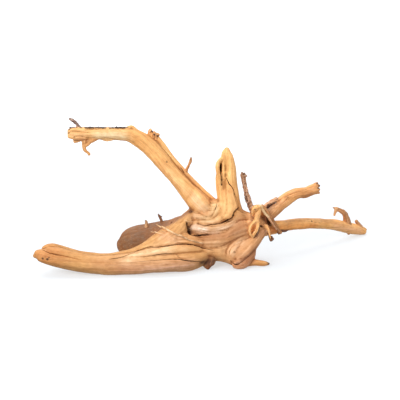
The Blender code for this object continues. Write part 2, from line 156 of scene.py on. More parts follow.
# Stations are (across, up, back, half width, half depth), in millimetres.
LIMBS = {
    "front root, lower flute": [
        (-248.4, -84.4, -58.4, 3.4, 4), (-244.5, -82.2, -58, 7.2, 8.4), (-235, -84, -59, 10.2, 13),
        (-217, -88, -60, 12.2, 15), (-198, -92, -60, 13, 16), (-174, -96, -60, 13.2, 16),
        (-144, -98.7, -60, 13, 16), (-112, -98.3, -60, 13, 16), (-82, -96.8, -57, 13.8, 17),
        (-52, -93.8, -52, 15, 18), (-25, -91.5, -45, 15.5, 18), (-6, -89.3, -38, 12.8, 15),
        (9, -84, -30, 9, 10),
    ],
    "front root, upper flute": [
        (-233, -75, -47, 7, 8), (-223, -73.8, -45, 9, 12), (-207, -78.3, -43, 10, 14),
        (-186, -84.6, -42, 10, 14), (-162, -89, -42, 10, 14), (-135, -90, -42, 10.8, 14),
        (-111, -86.5, -40, 12.2, 15), (-87, -80.5, -37, 14, 17), (-66, -72, -32, 17.5, 19),
        (-48, -61, -27, 19, 20), (-33, -48, -21, 16.5, 18), (-24, -36, -15, 12.5, 14),
        (-16, -25, -8, 9, 10),
    ],
    "front root, web": [
        (-227, -76.5, -53, 6, 9), (-212, -79.5, -57, 8, 13), (-186, -87.5, -58, 10, 14),
        (-160, -92, -58, 10, 14), (-135, -91, -57, 9, 14), (-111, -88, -54, 8, 14),
        (-84, -84, -50, 9, 14), (-60, -79, -45, 10.5, 13.5), (-35, -76, -40, 11, 13),
        (-12, -75.5, -34, 11, 11), (8, -77, -27, 8, 8),
    ],
    "trunk, core": [
        (-42, -69, -8, 24, 26), (-15, -60, -4, 33, 29), (15, -55.5, -3, 36, 30), (45, -51, -2, 33, 29),
        (69, -43.5, 1, 24, 24), (88, -37.5, 5, 16, 18),
    ],
    "trunk, crown": [
        (-20, -33, 0, 13.5, 18), (4.5, -21, 0, 17, 21), (33, -17, 2, 18, 20), (57, -26, 3, 14, 18),
        (78, -33, 4, 12, 14),
    ],
    "trunk, upper strand": [
        (-18, -41.6, -13, 6.5, 7), (-8, -42.4, -18, 8.5, 9), (15, -45, -20, 11, 10),
        (42, -41, -17, 10, 10), (64, -32, -7, 7, 8),
    ],
    "trunk, middle strand": [
        (-10, -62, -24, 10, 10), (22, -61, -25, 12, 10), (52, -51, -20, 11, 10), (76, -40, -9, 8, 8),
    ],
    "trunk, lower strand": [
        (-12, -77, -30, 10, 9), (6, -76, -28, 11, 10), (30, -74, -26, 12, 10), (54, -64, -20, 10, 9),
        (80, -48, -10, 7, 8),
    ],
    "trunk, low shell": [
        (-52, -61, -33, 5, 7), (-36, -58.5, -33, 8, 10), (-18, -59, -31, 9, 10), (0, -64, -29, 7, 8),
    ],
    "trunk, underside": [
        (-8, -78, -22, 11, 15), (18, -79, -22, 12.5, 16), (38, -83, -22, 11, 15),
        (54, -90, -27, 10, 11),
    ],
    "collar": [
        (-16, -28, -11, 5, 6), (-6, -33, -14, 7, 7), (6, -34.5, -16, 8, 7), (20, -31, -15.5, 8, 7),
        (30, -22, -13, 8, 7), (34, -8, -9, 7, 7),
    ],
    "back lobe": [
        (14, -46, 4, 21, 17), (-12, -49.5, 20, 28.5, 25), (-42, -53.3, 38, 24.5, 25),
        (-72, -58.5, 50, 24.5, 24), (-94, -62, 56, 24, 22), (-106, -66.5, 58, 20.6, 19),
        (-114, -70.5, 59, 14, 14),
    ],
    "back ridge": [
        (6, -14, 14, 9, 9), (-14, -24.5, 14, 8, 9), (-32, -34.5, 24, 8, 9), (-52, -41, 42, 7, 9),
        (-70, -45, 58, 6, 8),
    ],
    "heel root": [
        (54, -48, 2, 16, 14), (48, -52, 16, 20, 20), (40, -58, 38, 15, 17), (30, -60, 58, 11.5, 13),
        (22, -60, 74, 9, 10),
    ],
    "arched limb, main strand": [
        (6, -21, 2, 19.5, 17), (1, -7.5, 3, 16.8, 16), (-13.5, 8.3, 5, 13.2, 15),
        (-31, 28.5, 8, 12, 14), (-48, 47.3, 11, 12, 13.5), (-64.5, 66.8, 14, 12, 13),
        (-78.5, 81.8, 15, 12.6, 12.5), (-92, 92.2, 15, 12, 12), (-106.5, 98.6, 13, 11, 11),
        (-124.5, 99.6, 9, 10.3, 10), (-145.5, 99.6, 4, 9.8, 9.5), (-166.5, 100.2, 0, 9.3, 9),
        (-185, 99.6, -4, 9, 9), (-194, 99.6, -6, 7, 7),
    ],
    "arched limb, foot": [
        (-24, 24, 9, 8, 9), (-13, 10, 5, 12, 14), (-4, -1, -1.5, 14.5, 15.5), (3.5, -8.5, -6.5, 14, 14),
        (8.5, -13.5, -9, 10, 10.5),
    ],
    "arched limb, lower bump": [
        (-128, 93.2, 6, 3, 4.2), (-139.5, 90.3, 4, 3.8, 5), (-150, 94, 3, 3, 4),
    ],
    "arched limb, side strand": [
        (20, -4, 10, 7, 8), (6.5, 10, 13, 5, 6.5), (-13, 30, 16, 4.4, 6), (-30.5, 49.5, 19, 4.2, 6),
        (-46.5, 69, 21, 4.2, 6), (-60, 87, 22, 4.6, 6), (-65, 94, 21.5, 4.2, 5),
        (-66.4, 98, 21, 3.2, 4),
    ],
    "arched limb, elbow crest": [
        (-90, 98.5, 16, 4, 7), (-96, 104, 15, 3.4, 6), (-102.5, 110.4, 14, 2.8, 5),
        (-111, 107, 12, 3, 6),
    ],
    "arched limb, elbow knob": [
        (-74, 95, 19, 4.4, 5), (-74.2, 100.5, 19, 3.2, 3.6), (-73.6, 104, 18.5, 2.4, 2.6),
    ],
    "arched limb, elbow lump": [(-67, 95, 22, 3.2, 4), (-65, 98, 22, 2.6, 3)],
    "arched limb, tip upper knuckle": [
        (-174, 104.5, -3, 4.4, 6), (-187, 105.5, -6, 4.2, 6), (-197, 104, -8, 3, 4),
    ],
    "arched limb, tip lower knuckle": [
        (-172, 94, -6, 4, 5), (-187, 94, -9, 4.4, 5), (-197, 95.5, -10, 3.2, 4),
    ],
    "arched limb, tip heel": [(-176, 93, -4, 4, 5), (-186, 89, -5, 4, 4.5), (-189, 87.5, -5, 2.8, 3)],
    "stump, main blade": [
        (46.5, -21, 4, 18, 14), (45.4, -6, 5, 15.2, 12), (45.3, 9, 6, 13, 10), (45.4, 24, 7, 11.5, 9),
        (45.4, 39, 8, 10, 8), (44.2, 52.5, 9, 9.4, 7), (41.4, 62, 9.5, 9.6, 6.2),
        (39.6, 70, 10, 8.2, 5), (40.4, 77.4, 10, 3.4, 3),
    ],
    "stump, side blade": [
        (33, -9, 4, 8, 11), (31.8, 10.5, 4, 4.6, 10), (29.3, 27, 4, 3.6, 9), (26.9, 43.5, 4, 3.4, 8.5),
        (26.4, 52, 5, 3.5, 8), (29, 58.5, 6, 3.4, 6), (32, 63, 7.5, 2.6, 4.5),
    ],
    "stump, inner ridge": [
        (35.5, 20, 3.8, 3, 5), (35.2, 36, 5.9, 2.8, 4.6), (35.2, 50, 7.3, 2.6, 4.4),
        (35.4, 60, 7.4, 2.2, 3.8), (36.8, 66, 8.4, 1.8, 3),
    ],
    "stump, face": [
        (34.5, 18, 5, 7, 6), (37, 9, 2, 12, 8), (40, -1, -0.5, 16, 11), (39, -13, -5, 18.5, 13),
        (36, -23, -9, 16, 12),
    ],
    "stump, back wall": [
        (36, -4, 15, 9, 7), (32, 20, 16, 8.5, 6), (31.5, 42, 15.5, 8, 5.6), (33, 54, 14, 6, 4.6),
        (35.5, 61, 12.5, 3.2, 3),
    ],
    "upper side root": [
        (92, -30, 12, 13, 14), (105, -19.2, 20, 10.4, 11), (117, -9.5, 27, 9.3, 9.5),
        (130.6, 2.4, 34, 9.4, 8.5), (143.6, 9.2, 41, 8.4, 7.8), (156.8, 11.3, 48, 7.8, 7.4),
        (168, 15.2, 54, 8, 7.8), (173, 16.6, 57, 7.4, 7),
    ],
    "upper side root, upper nub": [
        (165, 19, 52, 4, 4), (173, 22.6, 56, 3.2, 3.6), (177.2, 23.6, 58, 2, 2.2),
    ],
    "upper side root, lower nub": [
        (165, 11, 54, 4, 4), (173.6, 11.8, 58, 3.6, 3.6), (178.2, 11.4, 60, 2.4, 2.6),
    ],
    "upper side root, underside nub": [
        (148, 6.4, 42, 3.4, 3.4), (155.5, 4.8, 45, 3, 3.2), (162, 7, 50, 3, 3),
    ],
    "lower side root": [
        (84, -43, 6, 14, 15), (105, -41.8, 20, 10.5, 11), (126, -38.3, 38, 9.2, 9),
        (150, -35.6, 60, 8.3, 8.3), (177, -35.6, 84, 7.8, 7.5), (201, -37.3, 105, 8.2, 7.5),
        (220.5, -41, 122, 8.4, 7.6), (237, -44.5, 136, 7.6, 7), (245.5, -47.4, 142, 4.8, 4.8),
    ],
    "lower side root, point": [
        (235, -39.6, 136, 4.4, 4), (243, -41.8, 140, 3.2, 3), (250, -44, 143, 1.1, 1.2),
    ],
    "burl": [
        (97, -41, 3, 8, 10), (85.5, -52, -6, 12, 12), (73, -65.3, -16, 15, 15),
        (61.5, -75.8, -23, 15.5, 16), (53, -83, -27, 12.6, 13),
    ],
    "burl, brow": [
        (68, -58, -14, 6, 9), (55, -65, -23, 8, 10), (48, -74, -28, 8.6, 10.5), (48, -84, -30, 8, 9.5),
        (53, -91, -31, 6, 8),
    ],
    "burl heel": [
        (79, -64, -9, 7, 11), (73.5, -80, -19, 11, 13), (64, -92.5, -29, 11, 12),
        (57, -96, -35, 8.6, 9), (51.5, -97.4, -36, 6, 7),
    ],
    "peg": [
        (69, -93, -24, 6.5, 7), (84, -94, -24, 5, 5), (96.5, -95.2, -23, 4.4, 4.4),
        (103.6, -95.8, -22, 1.9, 2.2),
    ],
    "root bud": [
        (12, -84, -30, 12, 8), (12.5, -92, -34, 10.5, 7), (11.2, -98.5, -37, 7.2, 6),
        (12.4, -103.5, -39, 2.6, 3),
    ],
}

# The tangle and the stout twigs, which grow out of the wood as one finer skin.
ROOTLETS = {
    "tangle, arch": [
        (79.5, -23.5, -17, 1.6, 1.8), (79.6, -18, -19, 3, 3), (82, -13.4, -19, 4.9, 4.2),
        (87.3, -11.2, -16, 4.7, 4.4), (92.4, -13, -8, 4.2, 4.4), (96, -21, 3, 4.6, 5),
    ],
    "tangle, leg": [
        (87.5, -11.5, -16, 4.2, 4), (87, -20.3, -19, 4.3, 3.8), (85.2, -28.5, -22, 3.7, 3.6),
        (86.4, -34.5, -24, 2.5, 2.8), (86.3, -40, -25.5, 2.2, 2.4), (84.2, -46, -26, 2.4, 2.3),
        (79.5, -53.5, -25, 2, 2),
    ],
    "tangle, loop": [
        (84.4, -30, -23, 3, 3), (78.4, -35.5, -26, 2.1, 2.3), (75, -40.8, -28, 2.3, 2.3),
        (73.8, -46.5, -28.5, 2.4, 2.3), (76, -52, -27, 2.1, 2.2), (79, -56, -24, 1.8, 1.8),
    ],
    # The strut's upper part, made near white as a painted highlight; the rosy strut carries on below it.
    "pale strut": [(90, -8.6, -16, 2.6, 2.4), (95.2, -17, -12.5, 2.1, 2), (102, -25, -8.6, 1.9, 1.9)],
    "rosy strut": [
        (101, -24, -9, 1.8, 1.8), (107.4, -33.5, -2.6, 1.7, 1.8), (114.8, -43.6, 7, 1.5, 1.6),
    ],
    "strut back": [
        (93, -8.8, -11, 2.6, 2.8), (98, -13, -9, 2.4, 2.6), (102.8, -20, -7, 2.2, 2.6),
        (107.6, -27, -3, 2.1, 2.4), (112, -34, 3, 2.2, 2.4), (116.8, -42.5, 11, 2.4, 2.5),
        (121, -49, 20, 2.4, 2.4),
    ],
    "tangle blade": [(94, -16, 2, 2.6, 3), (97, -25, -2, 3, 2.4), (97.5, -34, 0, 2.6, 2.4)],
    # Its dark colour is painted shadow of the loop beside it.
    "tangle back, lower rootlet": [
        (88, -42, -19, 1.7, 1.8), (85.6, -50.5, -22, 1.9, 1.9), (79.4, -58.5, -24, 1.5, 1.5),
    ],
    "tangle, hanging rootlet": [
        (93, -41, -4, 2.6, 2.8), (98.2, -39.2, -11, 3, 2.8), (102, -43, -14, 2.2, 2.2),
        (104, -49, -14.6, 1.7, 1.8), (105.6, -56.6, -15.4, 1.3, 1.4),
    ],
    "tangle end, hanging rootlet": [
        (102.6, -50, -11.6, 1.6, 1.8), (104.6, -56, -11.6, 2, 2.2), (106.6, -60.6, -12, 2.3, 2.3),
    ],
    "tangle end, hanging hook": [
        (107, -60.6, -12, 2.1, 2.2), (109, -57.6, -12, 1.7, 1.8), (107.6, -54.4, -12, 1.4, 1.5),
    ],
    "tangle end, nub": [(117, -44, 20, 3, 3), (118.4, -50.4, 20, 2, 2)],
    "tangle end, side root nub": [
        (119, -43.5, 22, 2.6, 2.6), (124.5, -46, 27, 2.8, 2.6), (129.6, -45.6, 32, 2.2, 2.2),
        (133, -44, 36, 1.4, 1.4),
    ],
    "side root hook": [
        (220.8, -38, 123, 7, 6), (219.6, -28, 119.5, 5, 4.6), (216.4, -20, 117, 4, 3.8),
        (211, -16, 116, 3.4, 3.2), (205.5, -14.2, 115, 2.8, 2.6),
    ],
    "side root hook, top": [
        (199.8, -11.6, 115, 1.2, 1.8), (203.4, -11.8, 115, 1.6, 2), (207.4, -12.6, 115, 1.4, 1.8),
    ],
    "hook stub": [
        (204.4, -13, 113.6, 2.9, 2.2), (203.4, -16.4, 113.4, 2.6, 2.2), (202.4, -20, 113.6, 2, 1.8),
        (201.5, -23.2, 114, 1.4, 1.4),
    ],
    "tip nub, first": [(172, 23, 56, 2.8, 2.8), (176, 25, 57, 2.1, 2.1)],
    "tip nub, second": [(172, 19, 56, 2.8, 2.8), (179, 21.2, 57.4, 2.1, 2)],
    "tip nub, third": [(172, 16, 56, 2.8, 2.8), (178.8, 15.6, 57.4, 1.9, 1.9)],
    "tip nub, fourth": [(172, 12, 57, 2.8, 2.8), (178.6, 11, 58.4, 2.3, 2.2)],
    "side root nub": [(222, -43, 124, 5, 4.8), (222.8, -49, 125, 3, 2.8), (222.9, -51, 125, 1.8, 1.8)],
    "elbow stub, left": [
        (-76, 97, 18, 3, 3), (-75.6, 102.5, 17, 2.6, 2.6), (-73.8, 105.4, 17, 2.7, 2.6),
    ],
    "elbow stub, middle": [
        (-70.5, 94, 18, 3.4, 3), (-69.6, 98.6, 17, 3.4, 3), (-68.6, 101.4, 17, 2.9, 2.8),
    ],
    "elbow stub, right": [(-66, 92, 19, 3, 3), (-65.2, 98.6, 17.5, 2.8, 2.7), (-61.8, 97.6, 18, 2, 2)],
    "side root spur": [
        (241, -41, 137, 3.6, 3.6), (237, -35.6, 135, 3, 2.8), (234, -31.6, 134, 2.4, 2.4),
    ],
    "limb snag": [
        (-25.5, 35, 15, 3.6, 3.6), (-21.6, 42, 15, 2.7, 2.3), (-17.8, 50.3, 15, 2.1, 2),
        (-14.6, 57.5, 15, 2.3, 2.1), (-13.4, 62.5, 15, 2, 1.9),
    ],
    "tip claw": [
        (-174, 96, -3, 4.6, 3.6), (-174, 83, -4, 3.5, 2.8), (-173, 75.8, -5, 3.1, 2.7),
        (-168.4, 71.2, -6, 2.3, 2.1), (-166, 68.2, -6, 2.3, 2.1),
    ],
    "tip strut": [
        (-147, 97, 2, 4, 4), (-156, 93.2, 0, 4, 3.2), (-164, 88, -2, 3.6, 2.6),
        (-171.5, 81, -4.5, 2.6, 2.3),
    ],
    "tip strut, web": [
        (-161, 92, -0.5, 3.6, 2.6), (-167, 89.4, -2, 4.4, 2.6), (-171, 85, -3, 3.6, 2.4),
    ],
    "tip knob, upper": [(-193, 103, -8, 3.4, 3.4), (-197.4, 103.2, -9, 2.5, 2.6)],
    "tip knob, lower": [(-193, 98.4, -9, 3, 3.2), (-197, 98, -10, 2.4, 2.6)],
    "lobe stub": [(-79.5, -44, 47, 4, 4), (-80.5, -32.5, 46, 2.3, 2.4)],
    "dark tip, lobe": [(-60.4, -25.4, 41, 2.1, 2), (-62.8, -20.9, 41, 1.1, 1.1)],
    "dark tip, first nub": [(175.6, 25.2, 54.2, 1.2, 1.2), (176.8, 25.2, 54.4, 1.2, 1.2)],
    "dark tip, second nub": [(178.6, 22, 54.8, 1.2, 1.2), (179.8, 21.8, 55.4, 1.1, 1.1)],
    "dark tip, third nub": [(176.6, 17.8, 51.4, 1.2, 1.4), (178.2, 17.6, 53.4, 1.2, 1.4)],
    "dark tip, fourth nub": [(175.6, 13.4, 51.2, 1.1, 1.3), (176.4, 12.8, 52.2, 1.1, 1.3)],
    "dark tip, lobe thorn": [(-59, -27, 41, 1.6, 1.6), (-56.7, -23.9, 41, 0.9, 0.9)],
    "dark tip, snag": [(-14, 60.6, 15, 2, 1.9), (-13.2, 63.4, 15, 1.8, 1.7)],
    "dark tip, stub": [(-80.5, -34, 46, 1.9, 2), (-81.5, -31, 46, 1.6, 1.6)],
    "lobe rootlet": [
        (-58, -42, 42, 3, 3), (-57.4, -33.5, 41, 2.2, 2.2), (-58.2, -29.4, 41, 2.2, 2.1),
        (-60.2, -25, 41, 2, 1.9), (-62.8, -21.6, 41, 1, 1),
    ],
}

# What still has its bark, or is bark, and a dark strip that stands for the shadow under the bark splinter.
BARKS = {
    "bark twig": [
        (86, -28, 10, 5, 5), (79, -17, 13, 4.6, 4.6), (75.4, -8, 16, 4.1, 4.2),
        (72.4, 0.5, 17.5, 4.1, 4), (69.4, 12, 19, 3.5, 3.4), (67.2, 22.5, 20, 3.2, 3.1),
        (65.4, 32, 21, 3.7, 3.3), (64.4, 38.5, 21.5, 4.1, 3.4),
    ],
    "bark twig, knob": [(66, 36.6, 20, 2.4, 2.4), (69.4, 36.2, 20, 1.7, 1.8)],
    "bark twig, point": [(63.4, 37, 21, 2, 2), (62.6, 41.4, 21, 1, 1.2)],
    "bark flap, elbow": [(-72, 103.4, 14.4, 0.9, 1.1), (-71, 101.6, 14.2, 1, 1.1)],
    "bark flap, second elbow pit": [(-69.2, 98.8, 13.8, 0.9, 1.1), (-68, 97.6, 13.8, 1, 1.1)],
    "bark flap, third elbow pit": [(-64.4, 96.6, 14.6, 1, 1.1), (-62.8, 96, 14.8, 1.1, 1.1)],
    "bark flap, arch pit": [(81.9, -13.2, -22.8, 0.8, 0.9), (82.9, -14.8, -22.8, 0.9, 0.9)],
    "bark flap, pit": [(64.2, 39.4, 18.4, 1, 1), (67, 39.8, 18.6, 1.1, 1.1)],
    "bark flap": [
        (67.6, 7, 15.5, 1.0, 1.6), (69.2, 1, 14, 1.4, 1.8), (72, -7, 13, 1.3, 1.8),
        (75, -13, 13, 1.0, 1.3),
    ],
    "bark splinter": [
        (92, -13.4, 5, 2.2, 1.6), (99, -7.4, 9, 2.6, 1.8), (107, -2.4, 13, 2.7, 2),
        (113, 0.8, 17, 2.9, 2.2), (115.6, 2, 19, 2.6, 2),
    ],
    # Painted shadow: a dark strip under the bark splinter that stands for the shadow it casts.
    "splinter shade": [
        (93, -16.4, 5, 1.7, 1.6), (101, -10.6, 9, 2, 1.8), (108, -6.4, 13, 1.7, 1.6),
        (114, -2.8, 17, 1.1, 1.1),
    ],
    "bark sliver": [
        (-178, 102, 2, 2.4, 2.2), (-181, 108.6, 4, 2.6, 2.1), (-185, 114, 8, 2.7, 2),
        (-190.5, 119, 10, 2.3, 1.8), (-196, 121.8, 10.5, 1.5, 1.3),
    ],
}

# Dark remnants of bark along the top of the arched limb: from and to across, at this height up and this
# far ahead of the limb's middle.
RIDGE_BARK = [(-195, -184), (-181, -177), (-173, -159), (-157.5, -141), (-137, -108.5)]
RIDGE_BARK_UP = 108.4
RIDGE_BARK_AHEAD = 4.0
RIDGE_BARK_HALF_DEPTH = 2

# How each kind of wood looks: its colour as seen (0 to 255), how rugged its strands are and how dusty.
LOOKS = {
    "front root": ((212, 160, 100), 0.06, 0.08),
    "trunk": ((210, 156, 103), 0.25, 0.15),
    "collar": ((242, 188, 131), 0.06, 0.0),
    "back lobe": ((155, 104, 63), 0.12, 0.8),
    "back ridge": ((176, 124, 84), 0.5, 0.8),
    "heel root": ((190, 138, 94), 0.6, 0.5),
    "arched limb": ((247, 191, 124), 0.08, 0.0),
    "stump": ((248, 196, 128), 0.2, 0.0),
    "upper side root": ((233, 170, 111), 0.3, 0.1),
    "lower side root": ((255, 196, 124), 0.16, 0.1),
    "burl": ((230, 168, 113), 0.1, 0.1),
    "burl heel": ((224, 160, 116), 0.4, 0.2),
    "peg": ((213, 153, 91), 0.3, 0.1),
    "root bud": ((124, 62, 28), 0.8, 0.2),
    "tangle": ((248, 192, 128), 0.4, 0.0),
    # Painted shadow: the dark of the rootlet behind the tangle stands for the loop's shadow.
    "tangle back": ((126, 82, 52), 0.5, 0.2),
    "strut back": ((208, 148, 96), 0.5, 0.2),
    "hook stub": ((244, 196, 146), 0.3, 0.0),
    "tangle end": ((127, 87, 64), 0.6, 0.4),
    "side root hook": ((204, 150, 104), 0.6, 0.1),
    "side root spur": ((206, 151, 106), 0.4, 0.2),
    "limb snag": ((222, 166, 112), 0.4, 0.1),
    "tip claw": ((232, 178, 120), 0.4, 0.0),
    "tip strut": ((232, 178, 120), 0.4, 0.0),
    "side root nub": ((206, 140, 88), 0.4, 0.1),
    "tip nub": ((226, 166, 112), 0.5, 0.1),
    "tangle blade": ((150, 96, 58), 0.6, 0.2),
    "elbow stub": ((240, 182, 124), 0.5, 0.1),
    "dark tip": ((115, 81, 64), 0.5, 0.3),
    # Painted highlight: the near-white of the strut's upper part.
    "pale strut": ((255, 226, 180), 0.1, 0.0),
    "rosy strut": ((240, 188, 146), 0.3, 0.1),
    "tip knob": ((246, 196, 134), 0.3, 0.0),
    "lobe stub": ((222, 182, 140), 0.4, 0.1),
    "lobe rootlet": ((150, 108, 80), 0.4, 0.3),
    "bark twig": ((200, 162, 134), 1.0, 0.2),
    "bark flap": ((104, 76, 60), 1.0, 0.4),
    "bark splinter": ((228, 178, 138), 0.5, 0.2),
    "bark sliver": ((124, 106, 100), 0.8, 0.2),
    "ridge bark": ((92, 82, 80), 1.0, 0.2),
    # Painted shadow: the near-black colour of the strip under the bark splinter.
    "splinter shade": ((66, 42, 34), 1.0, 0.2),
}

# Drying cracks: (across, up, half width, depth) where each is seen on the wood.
CRACKS = {
    "notch behind the front root": [
        (-21, -32.6, 0.9, 8), (-19, -37.5, 2.4, 14), (-16.6, -45, 3.3, 16), (-15.4, -50.5, 3.3, 16),
        (-11, -53, 2, 13), (-4, -53.3, 1.4, 10), (6, -52.5, 1, 7), (18, -51.5, 0.3, 3),
    ],
    "edge of the crown": [
        (-5, -34.5, 0.25, 2), (0, -36.5, 0.6, 4), (8, -38.5, 0.8, 5), (16, -37, 1.0, 6),
        (29, -35.5, 1.1, 7), (37, -32, 1.4, 8), (47, -27.8, 1.9, 9), (50.5, -23.5, 2, 9),
        (51, -19.5, 1.7, 9), (56, -13.5, 1.3, 7), (58.4, -10.5, 0.5, 4),
    ],
    "line under the crown": [(36, -35.5, 0.3, 2), (42, -33, 0.6, 4), (47.5, -31, 0.3, 2)],
    "fork of the crown's edge": [(8, -38.5, 0.3, 2), (16, -39.8, 0.3, 2.5), (24, -39.5, 0.2, 1.5)],
    "front root, long crack": [
        (-137, -88.8, 0.3, 2), (-121, -86.5, 0.7, 4), (-104, -80.8, 0.8, 5), (-90, -74.6, 0.7, 5),
        (-76, -70.4, 0.7, 5), (-66, -71, 0.9, 6), (-50, -69, 0.9, 6), (-26, -66, 0.9, 6),
        (-10, -67.5, 0.8, 6), (2.5, -71.5, 0.6, 4), (12, -73.8, 0.4, 3), (20, -75.5, 0.2, 1.5),
    ],
    "front root, short crack": [
        (-85, -85.5, 0.2, 1.5), (-71, -83, 0.4, 2.5), (-55, -80.8, 0.4, 2.5), (-36, -81.3, 0.4, 2.5),
        (-32, -84.5, 0.2, 1.5),
    ],
    "front root, low crack": [
        (-92, -92.3, 0.2, 1.5), (-72, -91, 0.4, 3), (-50, -89.4, 0.5, 4), (-33, -88.8, 0.6, 4),
        (-22.5, -90.5, 0.8, 5), (-9, -92.3, 0.8, 5), (5, -92.9, 0.5, 3),
    ],
    "front root, tip groove": [
        (-236, -74.5, 0.3, 2), (-229, -78.3, 0.6, 3), (-218, -81.8, 0.5, 3), (-207, -83.6, 0.2, 1.5),
    ],
    "stump, split": [
        (29.6, 59, 0.5, 3), (30.4, 52, 1.2, 5), (31, 45, 1.5, 5), (31.7, 37, 1.6, 6),
        (32.6, 30, 2.2, 7), (33.4, 21.6, 2.4, 7),
    ],
    "stump, edge crack": [
        (39.5, 33, 0.3, 2), (43.5, 24.5, 0.8, 5), (48.6, 18.4, 0.7, 5), (51.2, 12.5, 0.8, 5),
        (54, 3.2, 0.8, 5), (56.2, -2.6, 0.6, 4), (57.4, -6.4, 0.3, 2),
    ],
    "fold line by the crotch": [(24.8, -4.5, 0.2, 1.5), (24.2, -10.5, 0.5, 3), (22.5, -15.5, 0.3, 1.5)],
    "burl crease": [
        (45.5, -90.5, 0.3, 2), (50, -95.6, 0.9, 4), (55.5, -96.8, 0.9, 4), (62, -93.4, 0.4, 3),
        (70, -87, 0.3, 2.5), (78, -79, 0.3, 2.5), (84, -70, 0.2, 1.5),
    ],
    "crevice behind the snag": [(-29, 49, 0.4, 2), (-25.5, 44, 0.9, 4), (-23.5, 40.5, 0.4, 2)],
    "hollow under the strut": [
        (94.5, -21, 1, 8), (99, -27, 2.2, 12), (103.5, -34, 3, 14), (107, -39, 1.5, 8),
    ],
    "hollow by the hanging rootlet": [(90, -38, 1, 6), (94, -40, 1.8, 9), (99, -38, 1.6, 9)],
}

# Folds (height over 0) and furrows (height under 0): half width, height, and (across, up) along each.
FOLDS = {
    "foot of the limb": (
        2.0, 0.4, [(-13, -16), (-3, -16.8), (5, -20), (12, -21.5), (17, -19.5), (19.5, -14), (19, -7)]
    ),
    "under the foot": (
        1.3, -0.25, [(-12, -20), (0, -20.5), (6, -23.5), (13.5, -24.3), (19.5, -21), (22, -14), (22, -6)]
    ),
    "first collar fold": (
        1.5, 0.25, [(-16, -24), (-2, -25), (8, -27.5), (17, -27), (23, -21), (24.7, -13), (24.5, -5)]
    ),
    "crown shell": (4.5, 1.0, [(8, -33.5), (22, -33), (34, -28.5), (43, -23.5), (47, -17), (52, -9.5)]),
    "ledge under the crown": (1.6, 0.25, [(20, -41.5), (34, -38.5), (45, -34), (54, -27), (60, -18)]),
    "furrow under the ledge": (1.3, -0.3, [(4, -43.5), (22, -46), (40, -43), (54, -34), (66, -24)]),
    "pale strand": (2.4, 0.12, [(-12, -43), (2, -45.5), (18, -50), (36, -49), (54, -42), (68, -33)]),
    "flush start of the strand": (3.2, 1.3, [(-15.5, -33.5), (-9, -34.4), (-3, -35)]),
    "shoulder lump": (3.4, 1.2, [(72.5, -19), (75, -25), (75.4, -32), (73.4, -39)]),
    "furrow by the shoulder lump": (1.4, -0.25, [(64, -19), (68, -25), (69.4, -32), (68, -38)]),
    "first line of the strands": (0.8, -0.5, [(-12, -42.5), (0, -44), (12, -47.5), (30, -48)]),
    "second line of the strands": (0.7, -0.45, [(-9, -46.5), (6, -49.4), (22, -50.6), (36, -48)]),
    "third line of the strands": (0.7, -0.6, [(-4, -40.6), (10, -43), (24, -43.5), (38, -40)]),
    "fill under the strands": (4.5, 0.9, [(10, -51.5), (24, -53.5), (40, -51), (54, -46)]),
    "long strand": (3.0, 0.2, [(-2, -58), (16, -61), (34, -61), (52, -55), (68, -48)]),
    "furrow by the burl": (2.0, -0.6, [(28, -70), (40, -66), (52, -59.5), (63, -54), (74, -51.5)]),
    "hump behind the notch": (4.5, 1.2, [(-28, -33), (-25, -41), (-23, -49), (-21, -55)]),
    "hump's furrow": (1.6, -0.3, [(-50, -45), (-44, -52), (-36, -58), (-24, -60.5), (-8, -60.5)]),
    "upper lip of the long crack": (
        2.4, 0.4, [(-105, -78), (-92, -72.5), (-78, -68.5), (-50, -65), (-26, -62), (-6, -64)]
    ),
    "shell over the low crack": (3.2, 0.5, [(-32, -84.5), (-22, -86.8), (-8, -88), (4, -88)]),
    "shell's edge": (1.1, -0.5, [(-36, -80.5), (-33, -85), (-25, -88.2), (-12, -90)]),
    "limb's groove": (2.2, -0.35, [(-57, 74), (-45, 62), (-32, 47), (-18, 32), (-5, 17), (9, 2)]),
    "ridge of the side strand": (
        1.0, 0.45, [(-62, 86), (-55, 78), (-47.6, 70), (-40, 60.5), (-33.3, 51.5)]
    ),
    "burl's outer furrow": (
        1.5, -0.3, [(39, -87), (38.6, -78), (41.5, -70), (47, -63.5), (57, -58), (70, -52)]
    ),
    "burl's outer ridge": (1.3, 0.5, [(41.6, -86), (41.8, -78), (44.8, -71), (50.5, -65.5), (59, -61)]),
    "burl's inner furrow": (1.0, -0.5, [(44, -85), (44.3, -77.2), (47.7, -70.7), (54.2, -65.7)]),
    "burl's inner ridge": (1.3, 0.3, [(46.6, -84), (46.8, -77), (50, -71.5), (56, -67.5)]),
    "upper side root furrow": (1.5, -0.5, [(104, -12), (118, -1), (132, 7), (148, 12), (160, 14)]),
    "upper line of the tip": (0.9, -0.8, [(-175, 104.7), (-168, 105.5), (-159.7, 106.4), (-150, 105.8)]),
    "lower line of the tip": (0.9, -0.3, [(-152, 93.8), (-140, 93), (-126, 92)]),
    "tip knuckle furrow, upper": (
        0.9, -0.9, [(-197, 101), (-191, 103), (-181, 102.6), (-174, 101.6), (-162.7, 101.3)]
    ),
    "tip knuckle furrow, lower": (
        0.9, -0.9, [(-192, 94.6), (-184, 95.8), (-176.5, 95.3), (-169.6, 93.6), (-160, 93.6), (-152, 94.6)]
    ),
    "flute of the tip": (1.4, -0.5, [(-238, -74), (-226, -79), (-207, -83), (-188, -87.5), (-174, -91)]),
}

